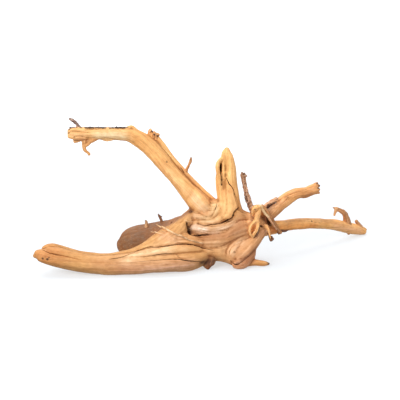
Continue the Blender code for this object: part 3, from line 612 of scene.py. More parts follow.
# Knots and pits: (across, up), radius, height (under 0 for a pit) and how dark it is.
KNOTS = {
    "grey knot of the stump": ((38.6, 37.5), 2.8, -0.2, 0.18),
    "pit of the elbow": ((-66, 95), 1.5, -1.2, 0.7),
    "first knot of the front root": ((-236, -88), 1.4, -0.4, 0.6),
    "second knot of the front root": ((-229, -89), 1.6, -0.5, 0.7),
    "third knot of the front root": ((-226.5, -86.5), 1.1, -0.4, 0.5),
    "hump's knot": ((-43, -33.5), 1.8, -0.7, 0.4),
    "pit of the burl": ((51.4, -78.4), 1.8, -0.4, 0.25),
    "knot of the upper side root": ((131, 4.5), 2.2, 0.5, 0.3),
    "limb knot": ((-100, 88), 2.0, 0.3, 0.25),
    "brown fleck of the limb": ((-49.8, 57.2), 1.5, -0.3, 0.4),
    "first pit of the limb's end": ((-196.4, 106.2), 1.3, -0.9, 0.8),
    "second pit of the limb's end": ((-197, 101), 1.3, -0.9, 0.8),
    "third pit of the limb's end": ((-188.4, 93.8), 1.6, -0.4, 0.25),
    "pit of the claw": ((-169.2, 89.4), 1.4, -0.5, 0.5),
    "spot of the lower side root": ((167.7, -32), 1.3, -0.3, 0.6),
    "pit of the limb's heel": ((-184, 91), 1.6, -0.1, 0.15),
}

# Patches of other colour, among them painted shade, painted highlights and painted bounce light: the colour
# as seen, how strong, a radius, and (across, up) where they lie.
PATCHES = {
    "knuckled end": ((240, 194, 142), 0.6, 8, [(-190, 98), (-178, 98)]),
    "pale side root tip": ((244, 186, 142), 0.7, 8, [(206, -40), (222, -43), (238, -46)]),
    # Painted shade in the notch behind the front root, on its rim and its wall.
    "painted shade at the notch's rim": ((150, 98, 62), 1.0, 2.2, [(-14.4, -38), (-13.6, -43), (-12.4, -48)]),
    "painted shade on the notch's wall": ((92, 62, 44), 0.9, 2.4, [(-19.4, -36), (-17.8, -42), (-16.4, -48)]),
    # A painted highlight: a thin pale line along the side strand's ridge.
    "ridge of the side strand": ((255, 220, 158), 0.7, 1.3, [(-60, 84), (-47.6, 70), (-35, 54)]),
    "orange stump": ((238, 168, 102), 0.75, 7, [(35, 12), (43, 8), (46, 16)]),
    "pale crown": ((234, 194, 154), 0.6, 6, [(-8, -25), (2, -27), (11, -31), (20, -33)]),
    "dark top of the ridge": ((120, 88, 68), 0.8, 2.5, [(-17, -18), (-25, -22.5), (-34, -29)]),
    "dark top of the lobe": ((116, 88, 72), 0.8, 2.5, [(-46, -34.5), (-60, -37), (-74, -39)]),
    "brown beside the crown": ((168, 110, 68), 0.6, 5, [(57, -23), (62, -25), (66, -29)]),
    "pale root start": ((238, 182, 126), 0.5, 5, [(72, -22), (74, -30)]),
    "bleached strands": ((248, 228, 208), 0.8, 4.6, [(-7, -40), (-1, -42), (6, -44.5)]),
    "pale second strand": ((242, 212, 184), 0.7, 3.6, [(-4, -47), (5, -48), (14, -49), (24, -49)]),
    "brown line of the strands": (
        (186, 134, 96), 0.35, 1.2, [(-9, -43.4), (0, -44.6), (12, -47.8), (28, -48.2)]
    ),
    "brown second line of the strands": (
        (192, 142, 104), 0.3, 1.2, [(-7, -47.4), (6, -49.6), (22, -50.8)]
    ),
    "bleached ledge": ((234, 208, 182), 0.5, 6, [(30, -43), (42, -39), (50, -34)]),
    "brown strands": (
        (192, 134, 92), 0.7, 10, [(10, -57), (22, -54), (34, -56), (46, -52), (58, -46), (62, -36)]
    ),
    "grey hollow of the trunk": ((166, 124, 92), 0.5, 8, [(66, -47), (58, -50)]),
    "rosy underside": (
        (220, 170, 138), 0.8, 13, [(-60, -103), (-40, -101), (-20, -99), (-84, -104), (-108, -104)]
    ),
    # Painted shade on the end of the front root's tip.
    "painted shade on the front root's tip": ((196, 130, 74), 0.8, 18, [(-236, -84), (-222, -80)]),
    "pale belly": ((214, 162, 120), 0.5, 16, [(-130, -100), (-110, -98), (-146, -96)]),
    "honey stump": ((247, 196, 134), 0.6, 14, [(48, 2), (46, -8), (42, -16)]),
    "honey stump top": ((252, 202, 134), 0.45, 12, [(43, 60), (46, 48)]),
    "pale foot of the limb": ((244, 210, 174), 0.6, 9, [(-8, 2), (0, -8), (8, -15)]),
    "pale limb": ((248, 208, 156), 0.4, 7, [(-22, 14), (-34, 28), (-52, 48)]),
    # A painted highlight on the horizontal part of the arched limb.
    "painted highlight of the arched limb": ((255, 234, 190), 0.9, 8, [(-150, 95), (-136, 96), (-118, 95)]),
    "orange limb foot": ((226, 152, 92), 0.6, 4, [(10, -22), (16, -20), (4, -20)]),
    # Painted shade along the arched limb's lower edge, down to the crotch.
    "painted shade along the limb's edge": (
        (190, 128, 78), 0.7, 5, [(16, -1), (8, 6), (-4, 19), (-16, 33), (-29, 47)]
    ),
    "brown heel of the limb's end": ((196, 138, 100), 0.7, 5, [(-176, 91), (-184, 90)]),
    "pale collar": ((246, 214, 164), 0.6, 6, [(22, -16), (23, -8), (20, -24), (8, -28)]),
    # Painted light over the hump, lifting the shade of the furrow under it.
    "hump": ((253, 200, 140), 0.8, 8, [(-48, -63), (-34, -64), (-20, -63)]),
    # A painted highlight along the front root's top.
    "painted highlight on the front root's top": ((246, 200, 152), 0.4, 8, [(-66, -70), (-46, -70), (-24, -72)]),
    "pale burl": ((246, 206, 168), 0.6, 7, [(50, -78), (56, -68), (62, -64)]),
    # Painted shade along the burl's lower right side, over its heel.
    "painted shade under the burl": ((182, 124, 88), 0.7, 9, [(76, -86), (82, -76), (66, -94)]),
    "orange side root": ((240, 154, 76), 0.7, 7, [(118, -44), (132, -42), (150, -40), (170, -40)]),
    "brown side root top": ((184, 136, 98), 0.7, 6, [(130, -32), (150, -29), (172, -29), (196, -31)]),
    "orange side root foot": ((222, 130, 58), 0.9, 7, [(104, -44), (110, -46)]),
    "brown side root foot": ((236, 190, 150), 0.6, 8, [(106, -14), (112, -18), (120, -12)]),
    # Painted shade in the hollow under the strut.
    "painted shade in the hollow under the strut": ((62, 36, 24), 1.0, 6, [(97, -22), (100, -28), (104, -34)]),
    # Painted shade over the root bud and under the trunk beside it.
    "painted shade over the root bud": ((84, 52, 36), 1.0, 5, [(4, -94), (14, -93), (20, -91), (26, -93), (31, -98)]),
    "dusty lobe": ((138, 98, 68), 0.7, 16, [(-96, -46), (-80, -40), (-110, -58)]),
    "pale band": (
        (255, 224, 184), 0.58, 8, [(-108, -90), (-96, -83), (-84, -79), (-68, -77), (-52, -76)]
    ),
    "dusty ridge": ((166, 118, 84), 1.0, 6, [(-18, -18), (-27, -25), (-37, -31), (-47, -36)]),
    # Painted bounce light: warm orange in the hole of the tangle's loop.
    "painted bounce light in the loop's hole": ((250, 168, 92), 1.0, 4.5, [(79.5, -41), (80, -46)]),
    "dark corner of the limb": ((84, 56, 42), 0.9, 2.6, [(-14.6, -16.4), (-13, -17.6)]),
    # Painted shade in the crease beside the shoulder lump.
    "painted shade in the crease by the shoulder lump": ((158, 108, 62), 0.7, 2.8, [(62.8, -18.5), (64.6, -23), (66.8, -27)]),
    "brown beside the loop": ((166, 112, 78), 0.8, 3, [(78.8, -25), (78, -30)]),
    "pale low trunk": ((224, 178, 134), 0.6, 7, [(10, -66), (24, -66), (34, -68)]),
    "rosy flank": ((238, 186, 146), 0.6, 6, [(88, -52), (94, -49), (100, -45)]),
    "dark middle of the lobe": ((112, 84, 64), 0.4, 9, [(-97, -62), (-90, -54)]),
    "pale frayed hump": ((242, 196, 158), 0.6, 6, [(-56, -53), (-46, -57), (-34, -60)]),
    # Painted shade under the upper side root, near its tip.
    "painted shade under the upper side root": (
        (176, 114, 72), 0.8, 3.5, [(150, 3.4), (158, 5), (166, 8)]
    ),
    "dark peg tip": ((84, 52, 36), 1.4, 2.2, [(104, -95.4)]),
    # A painted highlight on the shoulder lump.
    "painted highlight on the shoulder lump": ((244, 186, 128), 0.7, 3.4, [(72, -21), (73.4, -27), (73, -32)]),
    # Painted shade in the crease between the burl and its heel.
    "painted shade in the burl's crease": (
        (124, 80, 54), 0.8, 2.6, [(81.5, -75), (76, -81), (68.5, -87), (62, -91.5), (56, -94.6)]
    ),
    "pale face of the burl": ((240, 188, 142), 0.5, 5, [(60, -84), (67, -78), (73, -72)]),
    # Painted shadow of the bark splinter on the upper side root's foot.
    "painted splinter shadow on the upper side root": (
        (160, 108, 72), 0.7, 3.4, [(99, -14.5), (105, -8.6), (110, -4.5)]
    ),
    "orange belly of the upper side root": (
        (246, 184, 116), 0.7, 5, [(112, -20), (123, -11), (135, -4), (147, 2)]
    ),
}

# Thin loose fibres: thickness, then (across, up, lift off the wood) along each.
FIBRES = {
    "long fibre": (1.4, [(-64, -39, 4), (-41, -49.4, 3), (-22, -57, 3), (-8, -61.6, 2.5), (4, -65, 0.6)]),
    "short fibre": (0.8, [(-72.5, -48.6, 3), (-64, -50.6, 2.6), (-55, -52.6, 1.4)]),
    "hair by the short fibre": (0.3, [(-57, -51, 0.6), (-54, -54, 2.2), (-52, -57, 1)]),
    "second hair by it": (0.3, [(-60, -50, 0.8), (-56, -48, 2), (-50, -50, 0.6)]),
    "hair over the notch": (0.28, [(-24, -30, 0.3), (-17, -33, 1.6), (-9, -32, 0.4)]),
    "hair on the strands": (0.25, [(10, -44, 0.3), (22, -42.5, 1.2), (33, -44, 0.3)]),
    "hair of the lobe": (0.3, [(-98, -40, 0.4), (-94, -34, 3), (-88, -33, 5)]),
}

# How far back a fibre runs behind its foremost point; beyond that its end hangs free.
FIBRE_REACH = 22.0

# Where the wood is frayed into hairs: (across, up) and radius.
FRAYED = [
    ((-54, -53), 9),
    ((-66, -46), 8),
    ((-12, -54), 8),
    ((50, -24), 6),
    ((92, -34), 16),
    ((112, -46), 12),
    ((150, -42), 10),
    ((205, -40), 12),
    ((30, 56), 7),
    ((-66, 96), 8),
    ((-190, 96), 8),
    ((-30, -82), 8),
]


def seen(across, up, back):
    """The point in space seen there in the front view, and how much larger than seen things are there."""
    slope = math.tan(VIEW_TILT)
    depth = (back / math.cos(VIEW_TILT) - up * slope) / (1 + up * slope / VIEW_DISTANCE)
    scale = 1 + depth / VIEW_DISTANCE
    height = (up * scale - back * math.sin(VIEW_TILT)) / math.cos(VIEW_TILT)
    return (across * scale, back, VIEW_CENTRE_HEIGHT + height), scale


def in_space(stations):
    """Stations as rows of x, y, z, half width and half depth in mm."""
    rows = []
    for across, up, back, half_width, half_depth in stations:
        point, scale = seen(across, up, back)
        rows.append((*point, half_width * scale, half_depth * scale))
    return np.array(rows)


def smooth_path(rows, step):
    """Rows on a Catmull-Rom curve through the given rows, about `step` mm apart."""
    rows = np.asarray(rows, float)
    padded = np.vstack([2 * rows[0] - rows[1], rows, 2 * rows[-1] - rows[-2]])
    path = []
    for before, start, end, after in zip(padded, padded[1:], padded[2:], padded[3:]):
        count = max(1, round(np.linalg.norm(end[:3] - start[:3]) / step))
        for t in np.arange(count) / count:
            path.append(
                start
                + 0.5 * t * (end - before)
                + t**2 * (before - 2.5 * start + 2 * end - 0.5 * after)
                + t**3 * (1.5 * (start - end) + 0.5 * (after - before))
            )
    path.append(rows[-1])
    return np.array(path)


def unit(vectors):
    return vectors / np.maximum(np.linalg.norm(vectors, axis=-1, keepdims=True), 1e-9)


def frames(path):
    """Unit tangents of a path, and its width and depth directions as the front view has them."""
    tangents = unit(np.gradient(path[:, :3], axis=0))
    widths = unit(np.cross(tangents, unit(path[:, :3] - EYE)))
    return tangents, widths, np.cross(widths, tangents)


def domed(path):
    """The path with rings added beyond both ends that close it with a dome."""
    tangents = frames(path)[0]

    def dome(end, direction):
        reach = DOME_LENGTH * min(end[3:])
        rings = []
        for step in range(1, DOME_RINGS + 1):
            angle = math.pi / 2 * step / (DOME_RINGS + 0.6)
            ring = end.copy()
            ring[:3] += direction * reach * math.sin(angle)
            ring[3:] *= math.cos(angle)
            rings.append(ring)
        return rings

    return np.vstack([dome(path[0], -tangents[0])[::-1], path, dome(path[-1], tangents[-1])])


def add_tube(mesh, rings):
    """Adds a closed tube to the bmesh through rings of points in mm."""
    rings = [[mesh.verts.new(point * MM) for point in ring] for ring in rings]
    for ring, following in zip(rings, rings[1:]):
        for side in range(len(ring)):
            beside = (side + 1) % len(ring)
            mesh.faces.new((ring[side], ring[beside], following[beside], following[side]))
    mesh.faces.new(rings[0])
    mesh.faces.new(rings[-1])


def add_limb(mesh, name, stations, sides, step):
    """Adds a limb to the bmesh as a closed loft of oval rings, with the slow lumps of grown wood."""
    path = domed(smooth_path(in_space(stations), step))
    _, widths, depths = frames(path)
    phase = sum(map(ord, name))
    angles = 2 * math.pi * np.arange(sides) / sides
    cosines, sines = np.cos(angles)[:, None], np.sin(angles)[:, None]
    rings = []
    for number, (row, width, depth) in enumerate(zip(path, widths, depths)):
        turn = number * step / 5
        swells = np.sin(2 * angles + phase + 0.31 * turn) + np.sin(3 * angles + 2 * phase - 0.23 * turn)
        radius = 1 + LUMP_SHARE * swells[:, None]
        rings.append(row[:3] + radius * (cosines * width * row[3] + sines * depth * row[4]))
    add_tube(mesh, rings)


def placed(name, data):
    """A new object of that mesh, light or camera, in the scene."""
    made = bpy.data.objects.new(name, data)
    bpy.context.scene.collection.objects.link(made)
    return made


def object_from(mesh, name):
    """Turns a bmesh into an object of the scene, with its faces pointing out."""
    bmesh.ops.recalc_face_normals(mesh, faces=mesh.faces)
    data = bpy.data.meshes.new(name)
    mesh.to_mesh(data)
    mesh.free()
    return placed(name, data)


def applied(made):
    """The object with its modifiers applied and gone."""
    bpy.context.view_layer.update()
    graph = bpy.context.evaluated_depsgraph_get()
    made.data = bpy.data.meshes.new_from_object(made.evaluated_get(graph))
    made.modifiers.clear()
    return made


def bodies_of(mesh):
    """The separate bodies of a bmesh, each a list of its points."""
    waiting = set(mesh.verts)
    while waiting:
        body = [waiting.pop()]
        for point in body:
            beside = {edge.other_vert(point) for edge in point.link_edges} & waiting
            waiting -= beside
            body.extend(beside)
        yield body


def mended(made):
    """The object without the crumbs, flaps and slits that growing together, cutting and thinning leave."""
    mesh = bmesh.new()
    mesh.from_mesh(made.data)
    for body in list(bodies_of(mesh)):
        if len(body) < CRUMB_POINTS:
            bmesh.ops.delete(mesh, geom=body, context="VERTS")
    flaps = [face for face in mesh.faces if sum(edge.is_boundary for edge in face.edges) > 1]
    bmesh.ops.delete(mesh, geom=flaps, context="FACES")
    bmesh.ops.delete(mesh, geom=[edge for edge in mesh.edges if edge.is_wire], context="EDGES")
    bmesh.ops.delete(mesh, geom=[point for point in mesh.verts if not point.link_faces], context="VERTS")
    bmesh.ops.holes_fill(mesh, edges=[edge for edge in mesh.edges if edge.is_boundary], sides=0)
    bmesh.ops.recalc_face_normals(mesh, faces=mesh.faces)
    mesh.to_mesh(made.data)
    mesh.free()
    return made


def thinned(made):
    """The object with its flattest triangles merged, down to the most that a piece keeps."""
    made.data.calc_loop_triangles()
    share = MOST_TRIANGLES / len(made.data.loop_triangles)
    if share < 1:
        made.modifiers.new("thin", "DECIMATE").ratio = share
        applied(made)
    return made


def grown_together(name, limbs, sides, step, voxel, passes):
    """The limbs as one object: one skin round their overlap, smoothed."""
    mesh = bmesh.new()
    for limb, stations in limbs.items():
        add_limb(mesh, limb, stations, sides, step)
    made = object_from(mesh, name)
    skin = made.modifiers.new("grow together", "REMESH")
    skin.mode = "VOXEL"
    skin.voxel_size = voxel * MM
    smooth = made.modifiers.new("soften the crotches", "SMOOTH")
    smooth.factor = 0.5
    smooth.iterations = passes
    return applied(made)


class Skin:
    """A mesh's points in mm, with its edges and how many neighbours each point has."""

    def __init__(self, made):
        self.mesh = made.data
        count = len(self.mesh.vertices)
        flat = np.empty(3 * count, np.float32)
        self.mesh.vertices.foreach_get("co", flat)
        self.points = flat.reshape(-1, 3).astype(float) / MM
        edges = np.empty(2 * len(self.mesh.edges), np.int32)
        self.mesh.edges.foreach_get("vertices", edges)
        self.edges = edges.reshape(-1, 2)
        self.neighbours = np.bincount(self.edges.ravel(), minlength=count)

    def store(self):
        """Gives the points back to the mesh."""
        self.mesh.vertices.foreach_set("co", (self.points * MM).astype(np.float32).ravel())
        self.mesh.update()

    def normals(self):
        self.store()
        flat = np.empty(3 * len(self.points), np.float32)
        self.mesh.vertex_normals.foreach_get("vector", flat)
        return flat.reshape(-1, 3).astype(float)

    def push(self, heights):
        """Moves each point out of the skin by its height."""
        self.points += heights[:, None] * self.normals()

    def blurred(self, values, passes):
        """Values averaged with their neighbours' that many times."""
        first, second = self.edges.T
        columns = values.reshape(len(values), -1).astype(float)
        for _ in range(passes):
            total = columns.copy()
            for column in range(columns.shape[1]):
                total[:, column] += np.bincount(first, columns[second, column], len(columns))
                total[:, column] += np.bincount(second, columns[first, column], len(columns))
            columns = total / (self.neighbours + 1)[:, None]
        return columns.reshape(values.shape)

    def surface(self):
        """The skin as a tree that rays can be cast at, in mm."""
        corners = np.empty(len(self.mesh.loops), np.int32)
        self.mesh.loops.foreach_get("vertex_index", corners)
        starts = [face.loop_start for face in self.mesh.polygons]
        faces = [corners[start:end].tolist() for start, end in zip(starts, starts[1:] + [len(corners)])]
        return BVHTree.FromPolygons(self.points.tolist(), faces)


def tree_of(points):
    tree = KDTree(len(points))
    for index, point in enumerate(points):
        tree.insert(point, index)
    tree.balance()
    return tree


def nearest(tree, points):
    return np.array([tree.find(point)[1] for point in points])


def ranked(values):
    """The values' ranks, spread evenly from 0 to 1."""
    ranks = np.empty(len(values))
    ranks[np.argsort(values)] = np.linspace(0, 1, len(values))
    return ranks


def linear(colour):
    """A colour seen as 0 to 255 as the share of light that the surface gives back."""
    share = np.array(colour, float) / 255
    return np.where(share < 0.04045, share / 12.92, ((share + 0.055) / 1.055) ** 2.4)


class Field:
    """What the limbs round each point give it.

    That is its grain's direction, its colour, how rugged and how dusty it is, its place on a limb (along,
    across and deep), and how surely that place is on one limb alone.
    """

    def __init__(self, points, limbs):
        centres, axes, radii, lengths, owners, qualities = [], [], [], [], [], []
        for owner, (limb, stations) in enumerate(limbs.items()):
            path = smooth_path(in_space(stations), 3.0)
            tangents, widths, depths = frames(path)
            colour, rugged, dust = LOOKS[limb.split(",")[0]]
            length = PATTERN_GAP * owner
            for number, row in enumerate(path):
                length += np.linalg.norm(row[:3] - path[max(number - 1, 0), :3])
                centres.append(row[:3])
                axes.append((tangents[number], widths[number], depths[number]))
                radii.append(0.5 * (row[3] + row[4]))
                lengths.append(length)
                owners.append(owner)
                spread = np.outer(tangents[number], tangents[number]).ravel()
                qualities.append((*spread, *linear(colour), rugged, dust))
        centres, axes, radii, qualities = map(np.array, (centres, axes, radii, qualities))
        lengths, owners = np.array(lengths), np.array(owners)
        blended = np.empty((len(points), qualities.shape[1]))
        self.place = np.empty((len(points), 3))
        self.sure = np.empty(len(points))
        for start in range(0, len(points), POINTS_AT_ONCE):
            part = slice(start, min(start + POINTS_AT_ONCE, len(points)))
            offsets = points[part, None, :] - centres[None]
            weights = np.exp(-LIMB_FALLOFF * (offsets**2).sum(axis=2) / radii**2) / radii + 1e-12
            total = weights.sum(axis=1)
            blended[part] = weights @ qualities / total[:, None]
            best = weights.argmax(axis=1)
            own = offsets[np.arange(len(best)), best]
            self.place[part] = np.einsum("ijk,ik->ij", axes[best], own)
            self.place[part, 0] += lengths[best]
            same = owners[None, :] == owners[best][:, None]
            self.sure[part] = (weights * same).sum(axis=1) / total
        directions = np.linalg.eigh(blended[:, :9].reshape(-1, 3, 3))[1][:, :, 2]
        self.directions = directions * np.sign(directions @ FORWARD + 1e-9)[:, None]
        self.colours = blended[:, 9:12]
        self.rugged = blended[:, 12]
        self.dust = blended[:, 13]
        self.sure = np.clip(2.5 * self.sure - 1.4, 0, 1)


def along_surface(directions, normals):
    """The directions laid down on the surface."""
    return unit(directions - normals * (directions * normals).sum(axis=1, keepdims=True))


class Grain:
    """Draws noise out along the wood's grain, by hopping from point to point ahead and behind."""

    def __init__(self, skin, flow):
        tree = tree_of(skin.points)
        self.skin = skin
        self.hops = [nearest(tree, skin.points + way * GRAIN_HOP * flow) for way in (1, -1)]

    def streaks(self, seed, blur, doublings=GRAIN_DOUBLINGS):
        """Streaks of 0 to 1 along the grain: wide ones for more blur, long ones for more doublings."""
        drawn = np.random.default_rng(seed).random(len(self.skin.points))
        drawn = self.skin.blurred(drawn, blur)
        total = drawn.copy()
        for hop in self.hops:
            reach, gathered = hop, drawn[hop]
            for _ in range(doublings):
                gathered = gathered + gathered[reach]
                reach = reach[reach]
            total += gathered
        evening = 5 * (blur + 2)
        total -= self.skin.blurred(total, evening)
        return ranked(total / np.sqrt(self.skin.blurred(total**2, evening) + 1e-12))


def cast_one(surface, across, up):
    """The point and normal of the wood seen there in the front view, or nothing where no wood is seen."""
    target = np.array(seen(across, up, 0.0)[0])
    point, normal, _, _ = surface.ray_cast(Vector(EYE), Vector(unit(target - EYE)))
    return point, normal


def cast_path(surface, places, step):
    """The path on the surface seen at those (across, up) places: points, normals and the other columns."""
    places = np.array(places, float)
    flat = np.zeros((len(places), 3))
    flat[:, :2] = places[:, :2]
    rows = smooth_path(np.hstack([flat, places[:, 2:]]), step) if len(places) > 1 else flat
    points, normals, others = [], [], []
    for row in rows:
        point, normal = cast_one(surface, row[0], row[1])
        if point is not None:
            points.append(point)
            normals.append(normal)
            others.append(row[3:])
    return np.array(points), np.array(normals), np.array(others)


def distance_to(points, path):
    """Each point's distance to the path, and how far along the path that is, from 0 to 1."""
    best = np.full(len(points), np.inf)
    share = np.zeros(len(points))
    low, high = path.min(axis=0) - FOLD_REACH, path.max(axis=0) + FOLD_REACH
    near = np.flatnonzero(((points > low) & (points < high)).all(axis=1))
    local = points[near]
    lengths = np.linalg.norm(np.diff(path, axis=0), axis=1)
    reached = np.concatenate([[0], np.cumsum(lengths)])
    closest = np.full(len(near), np.inf)
    place = np.zeros(len(near))
    for number, (start, end) in enumerate(zip(path, path[1:])):
        way = end - start
        t = np.clip(((local - start) @ way) / max(way @ way, 1e-9), 0, 1)
        distance = np.linalg.norm(local - start - t[:, None] * way, axis=1)
        closer = distance < closest
        closest[closer] = distance[closer]
        place[closer] = ((reached[number] + t * lengths[number]) / reached[-1])[closer]
    best[near] = closest
    share[near] = place
    return best, share


def shape_folds(skin, surface):
    """Raises the folds and presses in the furrows that the front shows."""
    heights = np.zeros(len(skin.points))
    for half_width, height, places in FOLDS.values():
        path, _, _ = cast_path(surface, places, 2.0)
        distance, share = distance_to(skin.points, path)
        ends = np.clip(np.minimum(share, 1 - share) * 5, 0, 1)
        heights += height * ends * np.exp(-((distance / half_width) ** 2))
    skin.push(heights)


def shape_knots(skin, surface):
    """Sets the knots and pits, and returns how dark they make each point."""
    heights = np.zeros(len(skin.points))
    dark = np.zeros(len(skin.points))
    for (across, up), radius, height, darkness in KNOTS.values():
        centre, _ = cast_one(surface, across, up)
        if centre is None:
            continue
        distance = np.linalg.norm(skin.points - np.array(centre), axis=1) / radius
        heights += height * np.exp(-(distance**2)) - 0.3 * height * np.exp(-((distance - 1.7) ** 2) * 6)
        dark = np.maximum(dark, darkness * np.exp(-((distance - 0.5) ** 2) * 1.6))
    skin.push(heights)
    return dark


def rest_on_ground(points):
    points[:, 2] = np.maximum(points[:, 2], 0)


def wedge(name, path, normals, sizes):
    """A cutter along the path: widest just outside the wood, sharp at the crack's bottom."""
    tangents = unit(np.gradient(path, axis=0))
    for _ in range(3):
        normals = unit(normals + np.roll(normals, 1, axis=0) + np.roll(normals, -1, axis=0))
    sideways = unit(np.cross(normals, tangents))
    half_widths, depths = sizes[:, :1], sizes[:, 1:]
    mouths = half_widths * (depths + CUTTER_LIFT) / depths
    rim = path + CUTTER_LIFT * normals
    rings = np.stack([rim - mouths * sideways, rim + mouths * sideways, path - depths * normals], axis=1)
    mesh = bmesh.new()
    add_tube(mesh, rings)
    return object_from(mesh, name)


def hidden_cracks(skin, flow, random):
    """Paths, normals and sizes of drying cracks along the grain on the sides that the front view hides."""
    normals = skin.normals()
    turned_away = ((skin.points - EYE) * normals).sum(axis=1) > TURNED_AWAY * VIEW_DISTANCE
    off_the_floor = skin.points[:, 2] > LOWEST_CRACK
    tree = tree_of(skin.points)
    for start in random.choice(np.flatnonzero(turned_away & off_the_floor), HIDDEN_CRACKS):
        places = [start]
        for _ in range(random.integers(10, 24)):
            last = places[-1]
            places.append(tree.find(skin.points[last] + HIDDEN_CRACK_STEP * flow[last])[1])
        swell = np.sin(np.linspace(0.15, math.pi - 0.15, len(places)))[:, None]
        half_width, depth = random.uniform(0.4, 0.9), random.uniform(2.5, 5)
        yield skin.points[places], normals[places], swell * (half_width, depth)


def cut_cracks(made, surface, skin, flow, seed):
    """Cuts the drying cracks into the object, each with the small wander of a real crack."""
    random = np.random.default_rng(seed)
    cutters = bpy.data.collections.new("crack cutters")
    bpy.context.scene.collection.children.link(cutters)
    cracks = [(name, *cast_path(surface, places, 1.6)) for name, places in CRACKS.items()]
    cracks += [("hidden crack", *crack) for crack in hidden_cracks(skin, flow, random)]
    for name, path, normals, sizes in cracks:
        wander = random.normal(0, CRACK_WANDER, (len(path), 3))
        wander = 0.5 * (wander + np.roll(wander, 1, axis=0))
        sizes[:, 0] *= random.uniform(0.75, 1.25, len(sizes))
        cutter = wedge(name, path + wander, normals, sizes)
        bpy.context.scene.collection.objects.unlink(cutter)
        cutters.objects.link(cutter)
    cut = made.modifiers.new("cracks", "BOOLEAN")
    cut.operation = "DIFFERENCE"
    cut.solver = "MANIFOLD"
    cut.operand_type = "COLLECTION"
    cut.collection = cutters
    applied(made)
    for cutter in list(cutters.objects):
        bpy.data.objects.remove(cutter)
    bpy.data.collections.remove(cutters)


def stored(mesh, name, values):
    """Keeps values with the mesh's points: one number, a vector of three or a colour of four each."""
    kind = {1: "FLOAT", 3: "FLOAT_VECTOR", 4: "FLOAT_COLOR"}[1 if values.ndim == 1 else values.shape[1]]
    field = {"FLOAT": "value", "FLOAT_VECTOR": "vector", "FLOAT_COLOR": "color"}[kind]
    attribute = mesh.attributes.new(name, kind, "POINT")
    attribute.data.foreach_set(field, values.astype(np.float32).ravel())


def near_places(skin, surface, places, radius, flow=None):
    """How near each point is to the places seen from the front: 1 there, less away from them.

    With a flow it falls off more slowly along the grain.
    """
    centres = cast_path(surface, places, 5.0)[0]
    squares = np.full(len(skin.points), np.inf)
    for centre in centres:
        offsets = skin.points - centre
        square = (offsets**2).sum(axis=1)
        if flow is not None:
            square = square - PATCH_STRETCH * (offsets * flow).sum(axis=1) ** 2
        squares = np.minimum(squares, square)
    return np.exp(-PATCH_FALLOFF * squares / radius**2)


def painted(skin, surface, flow, streak, colours):
    """The colours with the patches laid over them, broken up by the grain."""
    for colour, strength, radius, places in PATCHES.values():
        near = near_places(skin, surface, places, radius, flow)
        share = np.clip(strength * near * (0.7 + 0.6 * streak), 0, 1)
        colours = colours * (1 - share[:, None]) + linear(colour) * share[:, None]
    return colours


def hollows(skin):
    """How deep each point lies in a hollow: 0 on a ridge, 0.5 on plain wood, 1 in a furrow."""
    normals = skin.normals()
    depth = np.zeros(len(skin.points))
    for passes, weight in ((3, 1.0), (14, 0.6)):
        sunk = ((skin.blurred(skin.points, passes) - skin.points) * normals).sum(axis=1)
        depth += weight * sunk / (2.2 * np.std(sunk))
    return np.clip(0.5 + 0.5 * depth, 0, 1)


def grain_relief(grain, field, seed):
    """Strands, fibres and fine checks along the grain, and the relief they make in mm."""
    strands = grain.streaks(seed, 7)
    fibres = grain.streaks(seed + 1, 2)
    threads = grain.streaks(seed + 2, 0, GRAIN_DOUBLINGS - 1)
    checks = np.clip((grain.streaks(seed + 3, 1) - 0.975) / 0.02, 0, 1)
    relief = field.rugged * (0.6 * (np.sqrt(strands) - 0.66) + 0.7 * (np.sqrt(fibres) - 0.66))
    relief += (0.1 + 0.2 * field.rugged) * (threads - 0.5) - 0.3 * checks
    return strands, fibres, threads, checks, relief


def lumps(skin, size, height):
    """Slow irregular lumps of about that size, in mm."""
    return np.array([height * noise.fractal(Vector(point / size), 0.9, 2.0, 3) for point in skin.points])


def bark_relief(skin, field):
    """Plates and furrows of bark, in mm: stretched along the twig, with finer crumbs on top."""
    heights = np.empty(len(skin.points))
    for index, (along, across, deep) in enumerate(field.place):
        plates = noise.noise(Vector((0.16 * along, 0.42 * across, 0.42 * deep)))
        crumbs = noise.fractal(Vector((0.5 * along, 0.9 * across, 0.9 * deep)), 0.8, 2.1, 3)
        heights[index] = 0.75 * (0.5 - abs(plates) * 2) + 0.3 * crumbs
    return heights


